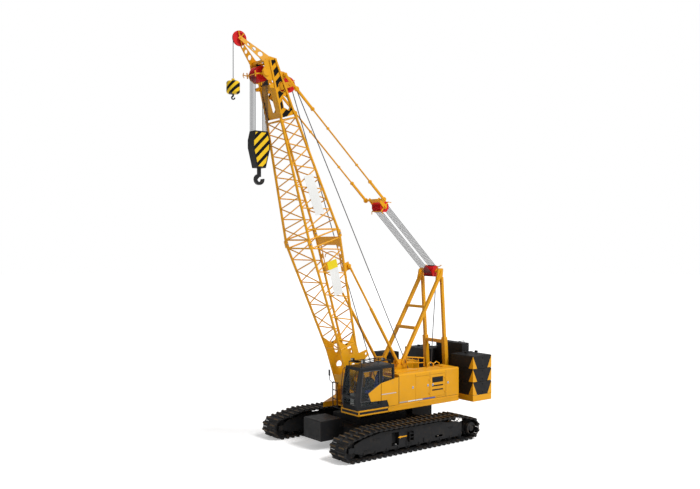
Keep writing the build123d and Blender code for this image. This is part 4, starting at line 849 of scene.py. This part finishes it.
def shorter_deck(place):
    cut = place.x - SLEW_X > RIGHT_FRONT_X and place.y < -0.645 and place.z < 1.63
    return Vector((SLEW_X + RIGHT_FRONT_X if cut else place.x, place.y, place.z))


HOOK_WIDER = 1.5


def thicker_hook(place):
    return Vector((place.x, place.y * HOOK_WIDER, place.z))


for node, width in (("main_hook", 0.012), ("aux_hook", 0.006)):
    dressed(node, node, HOOK, bevel=width, reshape=thicker_hook)
dressed("house_right", "upper", YELLOW, bevel=0.004, reshape=shorter_house)
dressed("deck_frame", "upper", YELLOW, bevel=0.006, reshape=shorter_deck)
for node, material in (("cab_glass", GLASS), ("cab_door_glass", GLASS), ("engine", BLACK)):
    NODES[node].data.materials.clear()
    NODES[node].data.materials.append(material)


# (share of length, of width, of thickness) at the rings of a pad
PAD_RINGS = (
    (-0.5, 0.90, 0.45), (-0.44, 0.97, 0.85), (-0.2, 1.0, 1.0), (0.2, 1.0, 1.0), (0.44, 0.96, 0.85), (0.5, 0.88, 0.45),
)
PAD_VOXEL = 0.006
PAD_PRESSURE = 4.0
PAD_FRAMES = 20


def soft_pad(name, size, centre, lean, cap, swaps=()):
    """Cushion of a length, width and thickness, blown up from a plain pad, each point moved by the cap at most."""
    length, width, thick = size
    along = Vector((math.sin(lean), 0, math.cos(lean)))
    out = Vector((math.cos(lean), 0, -math.sin(lean)))
    rings = []
    for share, narrow, thin in PAD_RINGS:
        half_y, half_t = width / 2 * narrow, thick / 2 * thin
        ring = [
            (-half_y, -half_t * 0.6), (-half_y * 0.92, -half_t), (half_y * 0.92, -half_t), (half_y, -half_t * 0.6),
            (half_y, half_t * 0.6), (half_y * 0.92, half_t), (-half_y * 0.92, half_t), (-half_y, half_t * 0.6),
        ]
        rings.append([centre + along * (share * length) + Y_AXIS * y + out * t for y, t in ring])
    shape = Shape()
    shape.skin(rings)
    pad = piece(name, shape, "upper", SEAT, smooth=180, swaps=swaps)
    remesh = pad.modifiers.new("even_mesh", "REMESH")
    remesh.mode = "VOXEL"
    remesh.voxel_size = PAD_VOXEL
    seen_by = bpy.context.evaluated_depsgraph_get()
    even = bpy.data.meshes.new_from_object(pad.evaluated_get(seen_by))
    pad.modifiers.clear()
    pad.data = even
    cloth = pad.modifiers.new("cloth", "CLOTH")
    cloth.settings.use_pressure = True
    cloth.settings.uniform_pressure_force = PAD_PRESSURE
    cloth.settings.effector_weights.gravity = 0.0
    cloth.settings.quality = 4
    for step in range(1, PAD_FRAMES + 1):
        scene.frame_set(step)
    blown = bpy.data.meshes.new_from_object(pad.evaluated_get(bpy.context.evaluated_depsgraph_get()))
    pad.modifiers.clear()
    for before, after in zip(even.vertices, blown.vertices):
        move = after.co - before.co
        if move.length > cap:
            after.co = before.co + move * (cap / move.length)
    pad.data = blown
    scene.frame_set(1)
    pad.data.materials.clear()
    pad.data.materials.append(SEAT)
    shade(pad.data, 180)


soft_pad("seat_cushion", (0.50, 0.48, 0.12), at(0.86, 1.245, 2.15), math.radians(88), 0.012, swaps=("cab_seat",))
soft_pad("seat_back", (0.62, 0.44, 0.11), at(0.55, 1.245, 2.50), math.radians(-10), 0.012)
soft_pad("seat_head_pad", (0.16, 0.26, 0.09), at(0.50, 1.245, 2.84), math.radians(-10), 0.008)


# ---------------------------------------------------------------- tracks
SHOES = 58
TRACK_Y = 2.345
SHOE_W = 0.95
SHOE_GAP = 0.014                  # between shoes along the belt
SHOE_LIFT = 0.055                 # from the wheels' rims to the shoes' flat face
CHAIN_Y = 0.16
GUIDE_Y = 0.40
FRAME_HALF_W = 0.3
WEB_Y = 0.29
FITTING_REACH = 0.025
STEP_REACH = 0.12
# wheels the belt runs round as (x, z, radius): sprocket, end rollers, idler, carriers
BELT_WHEELS = (
    (-3.11, 0.465, 0.33), (-2.56, 0.23, 0.115), (2.48, 0.23, 0.115), (3.005, 0.445, 0.33),
    (2.0, 0.895, 0.09), (0.35, 0.895, 0.09), (-1.3, 0.895, 0.09), (-2.45, 0.895, 0.09),
)


def belt_path(extra):
    """Arcs and lines of the closed belt, its radii grown by extra."""
    wheels = [(x, z, r + extra) for x, z, r in BELT_WHEELS]
    count = len(wheels)
    normals = []
    for k in range(count):
        xa, za, ra = wheels[k]
        xb, zb, rb = wheels[(k + 1) % count]
        lean = math.asin((ra - rb) / math.hypot(xb - xa, zb - za))
        normals.append(math.atan2(zb - za, xb - xa) - math.pi / 2 + lean)
    runs = []
    for k in range(count):
        x, z, r = wheels[k]
        arrive, leave = normals[k - 1], normals[k]
        while leave < arrive - 1e-9:
            leave += 2 * math.pi
        if leave - arrive < 1.9 * math.pi:
            runs.append(("arc", (x, z), r, arrive, leave))
        xb, zb, rb = wheels[(k + 1) % count]
        angle = normals[k]
        start = (x + r * math.cos(angle), z + r * math.sin(angle))
        end = (xb + rb * math.cos(angle), zb + rb * math.sin(angle))
        runs.append(("line", start, end, angle))
    return runs


def run_length(run):
    if run[0] == "arc":
        return run[2] * (run[4] - run[3])
    return math.dist(run[1], run[2])


def on_belt(runs, distance):
    """Place and outward normal at a distance along the belt."""
    for run in runs:
        length = run_length(run)
        if distance <= length or run is runs[-1]:
            if run[0] == "arc":
                angle = run[3] + distance / run[2]
                x, z = run[1]
                return (x + run[2] * math.cos(angle), z + run[2] * math.sin(angle)), angle
            share = distance / length
            (x0, z0), (x1, z1) = run[1], run[2]
            return (x0 + (x1 - x0) * share, z0 + (z1 - z0) * share), run[3]
        distance -= length


def shoe_ring(centre, angle, outline, y):
    """One end of a shoe from (along, outward) corners."""
    c, s = math.cos(angle), math.sin(angle)
    return [at(centre[0] - s * a + c * h, y, centre[1] + c * a + s * h) for a, h in outline]


belt = belt_path(SHOE_LIFT)
belt_length = sum(run_length(run) for run in belt)
pitch = belt_length / SHOES
half = (pitch - SHOE_GAP) / 2
# sections of shoe and chain from (along, outward) corners; a shoe has a raised bar across its middle
shoe_section = (
    (-half, -0.024), (half, -0.024), (half, -0.004), (half * 0.50, 0.0), (half * 0.32, 0.058), (-half * 0.32, 0.058),
    (-half * 0.50, 0.0), (-half, -0.004),
)
link_section = (
    (-half, -0.05), (half, -0.05), (half * 1.12, -0.038), (half, -0.025), (-half, -0.025), (-half * 0.88, -0.038),
)
guide_section = ((-half * 0.5, -0.05), (half * 0.5, -0.05), (half * 0.7, -0.024), (-half * 0.7, -0.024))
# strip across the top of a shoe's raised bar, painted with a reflection of the orange paint
reflection_section = ((-half * 0.26, 0.0575), (half * 0.1, 0.0575), (half * 0.1, 0.0590), (-half * 0.26, 0.0590))
# the raised bar is left out in the middle of a shoe
flat_section = [(a, min(h, 0.0)) for a, h in shoe_section]
edge = SHOE_W / 2 - 0.01
shoe_steps = (
    (-edge, shoe_section), (-0.075, shoe_section), (-0.05, flat_section), (0.05, flat_section),
    (0.075, shoe_section), (edge, shoe_section),
)
SPROCKET_X, SPROCKET_Z = BELT_WHEELS[0][:2]
rear_web = ((-1.0, 0.85), (-2.30, 0.85), (-2.66, 0.74), (-2.66, 0.42), (-1.0, 0.42))
mark_outline = ((0.75, 0.62), (0.62, 0.665), (0.62, 0.645), (0.30, 0.645), (0.30, 0.60), (0.62, 0.60), (0.62, 0.575))
for word, side in SIDES:
    shoes = Shape()
    chain = Shape()
    reflection_strips = Shape()
    y0 = side * TRACK_Y
    for k in range(SHOES):
        centre, angle = on_belt(belt, (k + 0.5) * pitch)
        shoes.skin([shoe_ring(centre, angle, section, y0 + y) for y, section in shoe_steps])
        for e in (-1, 1):
            reflection_strips.skin([shoe_ring(centre, angle, reflection_section, y0 + e * y) for y in (0.10, edge - 0.03)])
            for section, y, reach in ((link_section, CHAIN_Y, 0.05), (guide_section, GUIDE_Y, 0.04)):
                chain.skin([shoe_ring(centre, angle, section, y0 + e * y + off) for off in (-reach, reach)])
    piece(f"shoes_{word}", shoes, "base", TRACK, smooth=25, bevel=0.004, swaps=(f"track_{word}",))
    # the brown strips on the bars' tops are a painted reflection of the orange paint
    piece(f"painted_reflection_bars_{word}", reflection_strips, "base", ORANGE_REFLECTION)
    piece(f"chain_{word}", chain, "base", TRACK, smooth=25, bevel=0.003)
    frame_bits = Shape()
    outer = side * (TRACK_Y + FRAME_HALF_W)
    # lips, step and small plates on the side frame as (x, z, length, height)
    for x, z, length, height in (
        (2.25, 0.36, 0.30, 0.02), (1.80, 0.71, 0.34, 0.02), (-2.05, 0.62, 0.26, 0.02), (-0.62, 0.33, 0.10, 0.16),
        (0.30, 0.36, 0.09, 0.20),
    ):
        low, high = z - height / 2, z + height / 2
        frame_bits.box((x - length / 2, outer, low), (x + length / 2, outer + side * FITTING_REACH, high))
    for x in (-2.56 + k * 0.551 for k in range(10)):
        roller_end = at(x, outer - side * 0.005, 0.245)
        frame_bits.disc(roller_end, 0.055, 0.05, Y_AXIS, 20)
        frame_bits.disc(roller_end, 0.026, 0.075, Y_AXIS, 12)
    for e in (-1, 1):
        frame_bits.plate([at(x, y0 + e * WEB_Y, z) for x, z in rear_web], Y_AXIS * (e * 0.012))
    frame_bits.disc(at(-2.45, y0, 0.885), 0.085, 0.20, Y_AXIS, 20)
    for z in (0.42, 0.56, 0.70):
        frame_bits.box((0.02, outer, z), (0.26, outer + side * STEP_REACH, z + 0.025))
    for x in (0.02, 0.235):
        frame_bits.box((x, outer, 0.40), (x + 0.025, outer + side * STEP_REACH, 0.78))
    piece(f"side_frame_fittings_{word}", frame_bits, "base", BLACK, smooth=30, bevel=0.003)
    arrow = Shape()
    arrow.plate([at(x, outer + side * 0.001, z) for x, z in mark_outline], Y_AXIS * side * 0.002)
    piece(f"direction_mark_{word}", arrow, "base", YELLOW)
    wheel_face = Shape()
    gear = at(SPROCKET_X, side * (TRACK_Y + 0.405), SPROCKET_Z)
    for reach, radius in ((0.21, 0.30), (0.345, 0.25), (0.40, 0.235)):
        wheel_face.disc(at(SPROCKET_X, y0 + side * (reach - 0.10), SPROCKET_Z), radius, 0.20, Y_AXIS, 36)
    hub_cap = ((0.0, 0.012), (0.115, 0.010), (0.125, 0.0), (0.125, -0.02), (0.0, -0.02))
    wheel_face.turned(hub_cap, gear, Y_AXIS * side, 36)
    for k in range(12):
        wheel_face.disc(gear + spoke(30 * k) * 0.19 - Y_AXIS * (side * 0.024), 0.014, 0.016, Y_AXIS, 8)
    # sprocket teeth that reach between the links
    for k in range(24):
        out = spoke(15 * k)
        for e in (-1, 1):
            tooth = at(SPROCKET_X, y0 + e * CHAIN_Y, SPROCKET_Z) + out * 0.335
            wheel_face.slab(tooth, out, Y_AXIS, (0.03, 0.09, 0.032))
    piece(f"gearbox_face_{word}", wheel_face, "base", TRACK, smooth=30, bevel=0.003)


# ---------------------------------------------------------------- house sides and deck rim
SIDE_Y = 1.70


def on_side(outline):
    """Outline from (x, z) corners on the left side of house and cab."""
    return [at(x, SIDE_Y + 0.0005, z) for x, z in outline]


seams = Shape()
for x in (-1.0, -1.79, -2.70):
    seams.box((x - 0.005, SIDE_Y, 2.64), (x + 0.005, SIDE_Y + 0.0015, 2.73))
    seams.box((x - 0.005, SIDE_Y, 1.66), (x + 0.005, SIDE_Y + 0.0015, 1.72))
seams.box((-2.705, SIDE_Y, 1.72), (-2.695, SIDE_Y + 0.0015, 2.64))
seams.box((-3.42, SIDE_Y, 1.655), (-0.15, SIDE_Y + 0.0015, 1.665))
seams.box((-0.128, SIDE_Y - 0.02, 1.63), (-0.106, SIDE_Y + 0.004, 2.74))
piece("house_seams", seams, "upper", DARK_JOINTS_AND_SHADE)

slats = Shape()
# the dark sheet behind the louvre's slats is painted shade in its openings
shade_sheet = Shape()
for low, high in ((2.29, 2.52), (2.13, 2.19), (1.96, 2.02)):
    shade_sheet.box((-2.535, SIDE_Y - 0.0115, low + 0.003), (-1.925, SIDE_Y - 0.0095, high - 0.003))
    count = max(1, round((high - low) / 0.045))
    for k in range(count):
        z = low + (k + 0.5) * (high - low) / count
        slats.slab(at(-2.23, SIDE_Y - 0.004, z), Vector((1, 0, 0)), Vector((0, 1, -0.8)), (0.60, 0.012, 0.006))
piece("louvre_shade_sheet", shade_sheet, "door_left_rear", DARK_JOINTS_AND_SHADE)
piece("louvre_slats", slats, "door_left_rear", CAB_BLACK)

for word, body, places in (
    ("front", "door_left_front", (-1.68,)), ("rear", "door_left_rear", (-1.95,)), ("fixed", "upper", (-0.86, -2.81)),
):
    latch = Shape()
    keyhole = Shape()
    for x in places:
        latch.box((x - 0.04, SIDE_Y, 2.175), (x + 0.04, SIDE_Y + 0.010, 2.265))
        keyhole.box((x - 0.022, SIDE_Y + 0.010, 2.195), (x + 0.022, SIDE_Y + 0.013, 2.245))
    piece(f"latch_{word}", latch, body, SILVER, bevel=0.004)
    piece(f"latch_grip_{word}", keyhole, body, LATCH_BLUE, bevel=0.001)

# plain stripe low on the house: grey, white and blue lengths as (rear x, front x, material)
for word, rear, front, material in (
    ("grey", -0.57, -0.15, GREY), ("white", -1.38, -0.60, WHITE), ("blue", -2.09, -1.40, BLUE),
):
    stripe = Shape()
    stripe.box((rear, SIDE_Y, 1.672), (front, SIDE_Y + 0.001, 1.712))
    piece(f"stripe_{word}", stripe, "upper", material)

rim = Shape()
slot_shade = Shape()
rim.box((-3.42, SIDE_Y - 0.002, 1.402), (1.90, SIDE_Y + 0.012, 1.457))
rim.box((-3.42, SIDE_Y - 0.002, 1.553), (1.90, SIDE_Y + 0.012, 1.608))
for x in (1.88, 0.42, -1.2, -3.42):
    rim.box((x, SIDE_Y - 0.002, 1.41), (x + 0.03, SIDE_Y + 0.012, 1.60))
rim.box((-3.42, SIDE_Y, 1.43), (0.42, SIDE_Y + 0.008, 1.58))
# the dark strips in the rim's slots are painted shade
slot_shade.box((0.45, SIDE_Y, 1.459), (1.88, SIDE_Y + 0.004, 1.551))
rim.box((1.918, 0.65, 1.402), (1.93, 1.70, 1.457))
rim.box((1.918, 0.65, 1.553), (1.93, 1.70, 1.608))
slot_shade.box((1.919, 0.66, 1.459), (1.924, 1.69, 1.551))
piece("deck_rim", rim, "upper", YELLOW, bevel=0.002)
piece("deck_rim_slot_shade", slot_shade, "upper", DARK_JOINTS_AND_SHADE)


# ---------------------------------------------------------------- counterweight marks and fittings
STACK_LEVELS = [1.6103 + (3.26 - 1.6103) * k / 3 for k in range(4)]
STACK_X = (-4.955, -3.83)
STACK_Y = (0.85, 2.15)
MARK_W = 0.25
PROUD = 0.0008                    # a mark's back stands this far off the slab
stacks = Shape()
for side in (-1, 1):
    y0, y1 = sorted(side * y for y in STACK_Y)
    for low, high in zip(STACK_LEVELS, STACK_LEVELS[1:]):
        stacks.box((STACK_X[0], y0, low), (STACK_X[1], y1, high - 0.014))
        stacks.box((STACK_X[0] + 0.03, y0 + 0.03, high - 0.02), (STACK_X[1] - 0.03, y1 - 0.03, high - 0.0005))
piece("counterweight_stacks", stacks, "upper", BLACK, bevel=0.014, swaps=("counterweight_sides",))
silencer = Shape()
silencer.box((-2.35, -1.6, 2.801), (-1.5, -0.85, 3.28))
piece("silencer_box", silencer, "upper", BLACK, bevel=0.03, swaps=("exhaust_box",))
marks = Shape()
for side in (-1, 1):
    for corner_x, away in ((STACK_X[1], -1), (STACK_X[0], 1)):
        for k in range(3):
            low, high = STACK_LEVELS[k] + 0.012, STACK_LEVELS[k + 1] - 0.012
            y, face_y, face_x = side * STACK_Y[1], side * (STACK_Y[1] + PROUD), corner_x - away * PROUD
            marks.plate(
                route((corner_x, face_y, low), (corner_x + away * MARK_W, face_y, low), (corner_x, face_y, high)),
                Y_AXIS * side * 0.0015,
            )
            marks.plate(
                route((face_x, y, low), (face_x, y - side * MARK_W, low), (face_x, y, high)),
                Vector((-away * 0.0015, 0, 0)),
            )
piece("warning_triangles", marks, "upper", YELLOW)


def bow(shape, x0, x1, y, low, high):
    """Round bar bent down at both ends."""
    shape.tube(route((x0, y, low), (x0, y, high), (x1, y, high), (x1, y, low)), 0.014, 10)


hardware = Shape()
groove_shade = Shape()
for side in (-1, 1):
    y = side * STACK_Y[1]
    # the dark strip down each counterweight side is painted shade in its groove
    groove_shade.box((-4.445, y, 1.63), (-4.415, y + side * 0.001, 3.25))
    for k in range(3):
        for share in (0.2, 0.8):
            z = STACK_LEVELS[k] + (STACK_LEVELS[k + 1] - STACK_LEVELS[k]) * share
            hardware.disc(at(-4.43, y + side * 0.006, z), 0.032, 0.022, Y_AXIS, 16)
    for x in (-4.70, -4.09):
        hardware.disc(at(x, side * 1.5, 3.335), 0.048, 0.11, Y_AXIS, 16)
    bow(hardware, -4.83, -3.93, side * 1.15, 3.264, 3.30)
for y in (-0.55, 0.55):
    bow(hardware, -4.93, -4.60, y, 3.625, 3.68)
piece("counterweight_fittings", hardware, "upper", BLACK, bevel=0.002)
piece("counterweight_groove_shade", groove_shade, "upper", DARK_JOINTS_AND_SHADE)


# ---------------------------------------------------------------- cab trim
# rear panel of the cab's side and the same panel's forward end on the door, as (x, z)
rear_panel = [(0.792, 2.565), (-0.095, 2.715), (-0.095, 1.625), (0.40, 1.625), (0.50, 1.88), (0.792, 1.885)]
door_panel = [(0.815, 2.556), (0.815, 1.886), (1.31, 1.90), (1.44, 2.225)]
panel = Shape()
panel.plate(on_side(rear_panel), Y_AXIS * 0.014)
panel.box((-0.095, 0.80, 1.612), (0.078, SIDE_Y, 2.68))
piece("cab_side_panel", panel, "upper", YELLOW, bevel=0.003)
panel = Shape()
panel.plate(on_side(door_panel), Y_AXIS * 0.014)
piece("cab_door_panel", panel, "cab_door", YELLOW, bevel=0.003)
grip = Shape()
grip.box((0.03, SIDE_Y + 0.014, 2.105), (0.785, SIDE_Y + 0.020, 2.135))
piece("cab_panel_strip", grip, "upper", SILVER, bevel=0.003)
handle = Shape()
handle.box((1.33, SIDE_Y, 2.00), (1.46, SIDE_Y + 0.012, 2.06))
pull = ((1.40, 0.008), (1.40, 0.04), (1.52, 0.04), (1.52, 0.008))
handle.tube([at(x, SIDE_Y + off, 2.03) for x, off in pull], 0.009, 10)
piece("cab_door_handle", handle, "cab_door", TRIM, bevel=0.002)

rubber = Shape()
inner_side = [(0.86, 3.09), (1.69, 3.09), (1.81, 2.25), (1.83, 1.92), (1.315, 1.92), (1.435, 2.222), (0.86, 2.53)]
window = [(0.89, 3.06), (1.67, 3.06), (1.78, 2.25), (1.80, 1.95), (1.36, 1.95), (1.47, 2.24), (0.89, 2.55)]
rubber.plate(on_side(inner_side), Y_AXIS * 0.006, [on_side(window)])
piece("door_window_rubber", rubber, "cab_door", TRIM, bevel=0.001)

handrail = Shape()
for y in (0.83, 1.66):
    post = route((2.035, y, 1.66), (2.09, y, 1.68), (2.09, y, 2.50), (2.00, y, 3.12), (1.90, y, 3.18))
    handrail.tube(post, 0.013, 10)
for z in (1.95, 2.18, 2.45):
    handrail.tube([at(2.09, 0.83, z), at(2.09, 1.66, z)], 0.009, 8)
piece("windscreen_guard_rail", handrail, "upper", CAB_BLACK, smooth=60)

lining = Shape()
lining.box((0.142, 0.86, 1.69), (0.150, 1.63, 2.52))
lining.box((0.20, 0.86, 1.672), (1.90, 1.63, 1.676))
lining.box((0.20, 0.851, 1.70), (1.66, 0.856, 2.14))
lining.box((0.30, 0.90, 1.68), (0.62, 1.60, 2.10))
piece("cab_lining", lining, "upper", LINING, bevel=0.002)

access = Shape()
for y in (0.02, 0.30):
    post = route((1.86, 0.66, 1.50), (1.88, y, 1.52), (1.90, y, 1.95), (1.90, y, 2.45), (1.86, y + 0.04, 2.52))
    access.tube(post, 0.022, 10)
for z in (1.85, 2.20, 2.50):
    access.tube([at(1.90, 0.02, z), at(1.90, 0.30, z)], 0.02, 10)
access.tube(route((1.90, 0.02, 2.45), (1.90, -0.18, 2.55), (1.90, -0.22, 2.78)), 0.014, 10)
access.slab(at(1.89, -0.22, 2.84), Vector((0.3, 1, 0)), Z_AXIS, (0.15, 0.24, 0.03))
piece("access_rails", access, "upper", CAB_BLACK, smooth=50, bevel=0.002)

wiper = Shape()
wiper.tube(route((2.028, 1.1, 2.16), (2.03, 1.18, 2.30), (1.99, 1.30, 2.62)), 0.008, 8)
wiper.slab(at(1.992, 1.29, 2.62), Vector((-0.17, 0.05, 0.98)), Y_AXIS, (0.46, 0.02, 0.012))
piece("windscreen_wiper", wiper, "upper", TRIM)

lamps = Shape()
lenses = Shape()
for x, y, z in ((1.60, 0.92, 3.46), (1.60, 1.57, 3.46), (0.60, 1.57, 3.46)):
    lamps.box((x - 0.055, y - 0.07, z - 0.035), (x + 0.035, y + 0.07, z + 0.065))
    lenses.box((x + 0.035, y - 0.058, z - 0.022), (x + 0.041, y + 0.058, z + 0.052))
piece("cab_lamps", lamps, "upper", CAB_BLACK, bevel=0.006)
piece("cab_lamp_lenses", lenses, "upper", LENS, bevel=0.002)


# ---------------------------------------------------------------- house tops
tops = Shape()
for side in (-1, 1):
    for x0, x1 in ((-1.55, -0.35), (-3.3, -2.9)):
        tops.box((x0, side * 1.05 - 0.22, 2.80), (x1, side * 1.05 + 0.22, 2.835))
for x in (-2.48, -2.81):
    loop = ((0.19, 2.80), (0.17, 2.93), (0.0, 3.01), (-0.17, 2.93), (-0.19, 2.80))
    tops.tube([at(x + off, 1.0, z) for off, z in loop], 0.022, 12)
# guard frame beside the winches
guard = [(-1.32, 3.30), (-2.30, 3.18), (-2.30, 2.83)]
tops.tube([at(-1.32, 0.79, 2.80), *[at(x, 0.79, z) for x, z in guard]], 0.028, 12)
tops.tube([at(-1.32, 0.79, 3.05), at(-2.30, 0.79, 2.98)], 0.018, 10)
for x in (-1.65, -1.98):
    tops.tube([at(x, 0.79, 2.80), at(x, 0.79, 3.26 - (-1.32 - x) * 0.12)], 0.014, 8)
piece("house_top_fittings", tops, "upper", YELLOW, smooth=45, bevel=0.004)


# ---------------------------------------------------------------- ropes
luff = Shape()
for over in (-1, 1):
    for y in LUFF_YS:
        start = APEX + STAY_UP * (over * APEX_SHEAVE_R) + Y_AXIS * y
        end = BRIDLE + STAY_UP * (over * BRIDLE_SHEAVE_R) + Y_AXIS * y
        luff.tube([start.lerp(end, k / 12) for k in range(13)], ROPE_R, 8)
luffing = piece("luffing_ropes", luff, None, ROPE, swaps=("luff_falls_upper", "luff_falls_lower"))
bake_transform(luffing)

falls = Shape()
HEAD_AXIS = on_boom(*HEAD_SHEAVE)
TIP_AXIS = on_boom(*TIP_SHEAVE)
block_low, block_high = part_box("main_block")
block_x = (block_low[0] + block_high[0]) / 2
top_z, low_z = block_high[2], block_low[2]
mid_z = (top_z + low_z) / 2
block_outline = [
    (-0.29, top_z), (0.29, top_z), (0.37, top_z - 0.33), (0.37, top_z - 0.62), (0.18, low_z), (-0.18, low_z),
    (-0.37, top_z - 0.62), (-0.37, top_z - 0.33),
]


def on_block(share_x, share_z, y):
    """The block's outline grown or shrunk about its middle."""
    return [Vector((block_x + x * share_x, y, mid_z + (z - mid_z) * share_z)) for x, z in block_outline]


border = Shape()
for side in (-1, 1):
    face_y = side * (block_high[1] - 0.004)
    border.plate(on_block(1.0, 1.0, face_y), Y_AXIS * (side * 0.010), [on_block(0.87, 0.93, face_y)])
border.skin([on_block(1.004, 1.002, share * block_high[1]) for share in (-0.96, 0.96)])
piece("block_border", border, "main_tackle", BLACK, bevel=0.003)
for y in HEAD_SHEAVE_YS:
    for side in (-1, 1):
        x = HEAD_AXIS.x + side * HEAD_SHEAVE_R
        falls.rod(Vector((x, y, block_high[2])), Vector((x, y, HEAD_AXIS.z)), ROPE_R, 10)
piece("main_hoist_falls", falls, "main_tackle", ROPE, swaps=("main_falls",))
ball_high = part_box("aux_ball")[1]
aux = Shape()
aux_x = TIP_AXIS.x + TIP_SHEAVE_R
aux.rod(Vector((aux_x, 0, ball_high[2])), Vector((aux_x, 0, TIP_AXIS.z)), ROPE_R, 12)
piece("aux_hoist_fall", aux, "aux_line", ROPE, swaps=("aux_fall",))

lead = Shape()
lead_path = route((-3.36, 0.40, 6.55), (-3.32, 0.42, 6.15), (-3.25, 0.3, 3.92), (-3.19, 0.25, 2.17))
lead.tube(lead_path, HOIST_ROPE_R, 8)
piece("luffing_rope_lead", lead, "upper", ROPE)

hoist = Shape()
DRUMS = ((-0.25, 2.06, 0.23), (-2.05, 2.06, 0.23))
for (drum_x, drum_z, drum_r), y in zip(DRUMS, GUIDE_SHEAVE_YS):
    guide = on_boom(*GUIDE_SHEAVE, y)
    low = at(drum_x, y, drum_z)
    run = (guide - low).normalized()
    back = Vector((-run.z, 0, run.x))
    start = low + back * (drum_r + ROPE_R)
    end = guide + back * GUIDE_SHEAVE_R
    hoist.tube([start.lerp(end, k / 24) for k in range(25)], HOIST_ROPE_R, 8)
hoisting = piece("hoist_rope_runs", hoist, None, ROPE)
middle = at(-1.2, 0, 2.3)
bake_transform(hoisting)

over_head = Shape()
for y in GUIDE_SHEAVE_YS:
    start = on_boom(*GUIDE_SHEAVE, y) + (AHEAD * 0.35 + ALONG * 0.93).normalized() * GUIDE_SHEAVE_R
    over_head.rod(start, on_boom(HEAD_SHEAVE[0] - 0.1, HEAD_SHEAVE[1] - 0.25, y), ROPE_R, 8)
tip_top = on_boom(*TIP_SHEAVE) + (ALONG - AHEAD * 0.45).normalized() * TIP_SHEAVE_R
over_head.rod(tip_top, on_boom(12.75, -0.2, 0.0), ROPE_R, 8)
piece("head_ropes", over_head, "boom", ROPE)


# ---------------------------------------------------------------- camera, floor and light
STUDIO_LIGHT = 0.42               # of the white round the machine, for light that isn't seen straight on
FLOOR_GLOW = 0.35                 # brings the floor near to the white behind it in the picture
SUN_STRENGTH = 3.0

camera_data = bpy.data.cameras.new("camera")
camera = placed("camera", camera_data)
camera.location = at(21.23, 26.27, 8.09)
camera.rotation_euler = Vector((-0.6098, -0.7926, -0.004)).to_track_quat("-Z", "Y").to_euler()
camera_data.sensor_width = 36.0
camera_data.lens = 42.23
camera_data.clip_end = 500.0
scene.camera = camera

floor_mesh = bpy.data.meshes.new("floor")
FLOOR_R = 180.0
ring = [(FLOOR_R * math.cos(2 * math.pi * k / 64), FLOOR_R * math.sin(2 * math.pi * k / 64), 0.0) for k in range(64)]
floor_mesh.from_pydata(ring, [], [tuple(range(64))])
floor = placed("floor", floor_mesh)
ground = Finish("pale_floor")
ground_tone = ground.mix(ground.span(ground.noise(0.3), 0.3, 0.7), (0.80, 0.80, 0.80), (0.78, 0.78, 0.78))
floor_mesh.materials.append(ground.done(ground_tone, rough=(0.85, 0.95), bump=0.0))
seen = ground.nodes.new("ShaderNodeLightPath").outputs["Is Camera Ray"]
ground.shader.inputs["Emission Color"].default_value = (1.0, 1.0, 1.0, 1.0)
ground.link(ground.maths("MULTIPLY", seen, FLOOR_GLOW), ground.shader.inputs["Emission Strength"])
ground.shader.inputs["Specular IOR Level"].default_value = 0.0

sun_data = bpy.data.lights.new("sun", "SUN")
sun_data.energy = SUN_STRENGTH
sun_data.angle = math.radians(20)
sun = placed("sun", sun_data)
sun.rotation_euler = Vector((0.25, -0.65, -0.9)).to_track_quat("-Z", "Y").to_euler()

world = bpy.data.worlds.new("studio")
scene.world = world
world.use_nodes = True
sky = world.node_tree.nodes["Background"]
nodes, links = world.node_tree.nodes, world.node_tree.links
ray = nodes.new("ShaderNodeLightPath").outputs
direct = nodes.new("ShaderNodeMath")
direct.operation = "MAXIMUM"
links.new(ray["Is Camera Ray"], direct.inputs[0])
links.new(ray["Is Transmission Ray"], direct.inputs[1])
strength = nodes.new("ShaderNodeMapRange")
strength.inputs["To Min"].default_value = STUDIO_LIGHT
strength.inputs["To Max"].default_value = 1.0
links.new(direct.outputs[0], strength.inputs["Value"])
links.new(strength.outputs["Result"], sky.inputs["Strength"])
sky.inputs["Color"].default_value = (1.0, 1.0, 1.0, 1.0)
scene.view_settings.view_transform = "Standard"
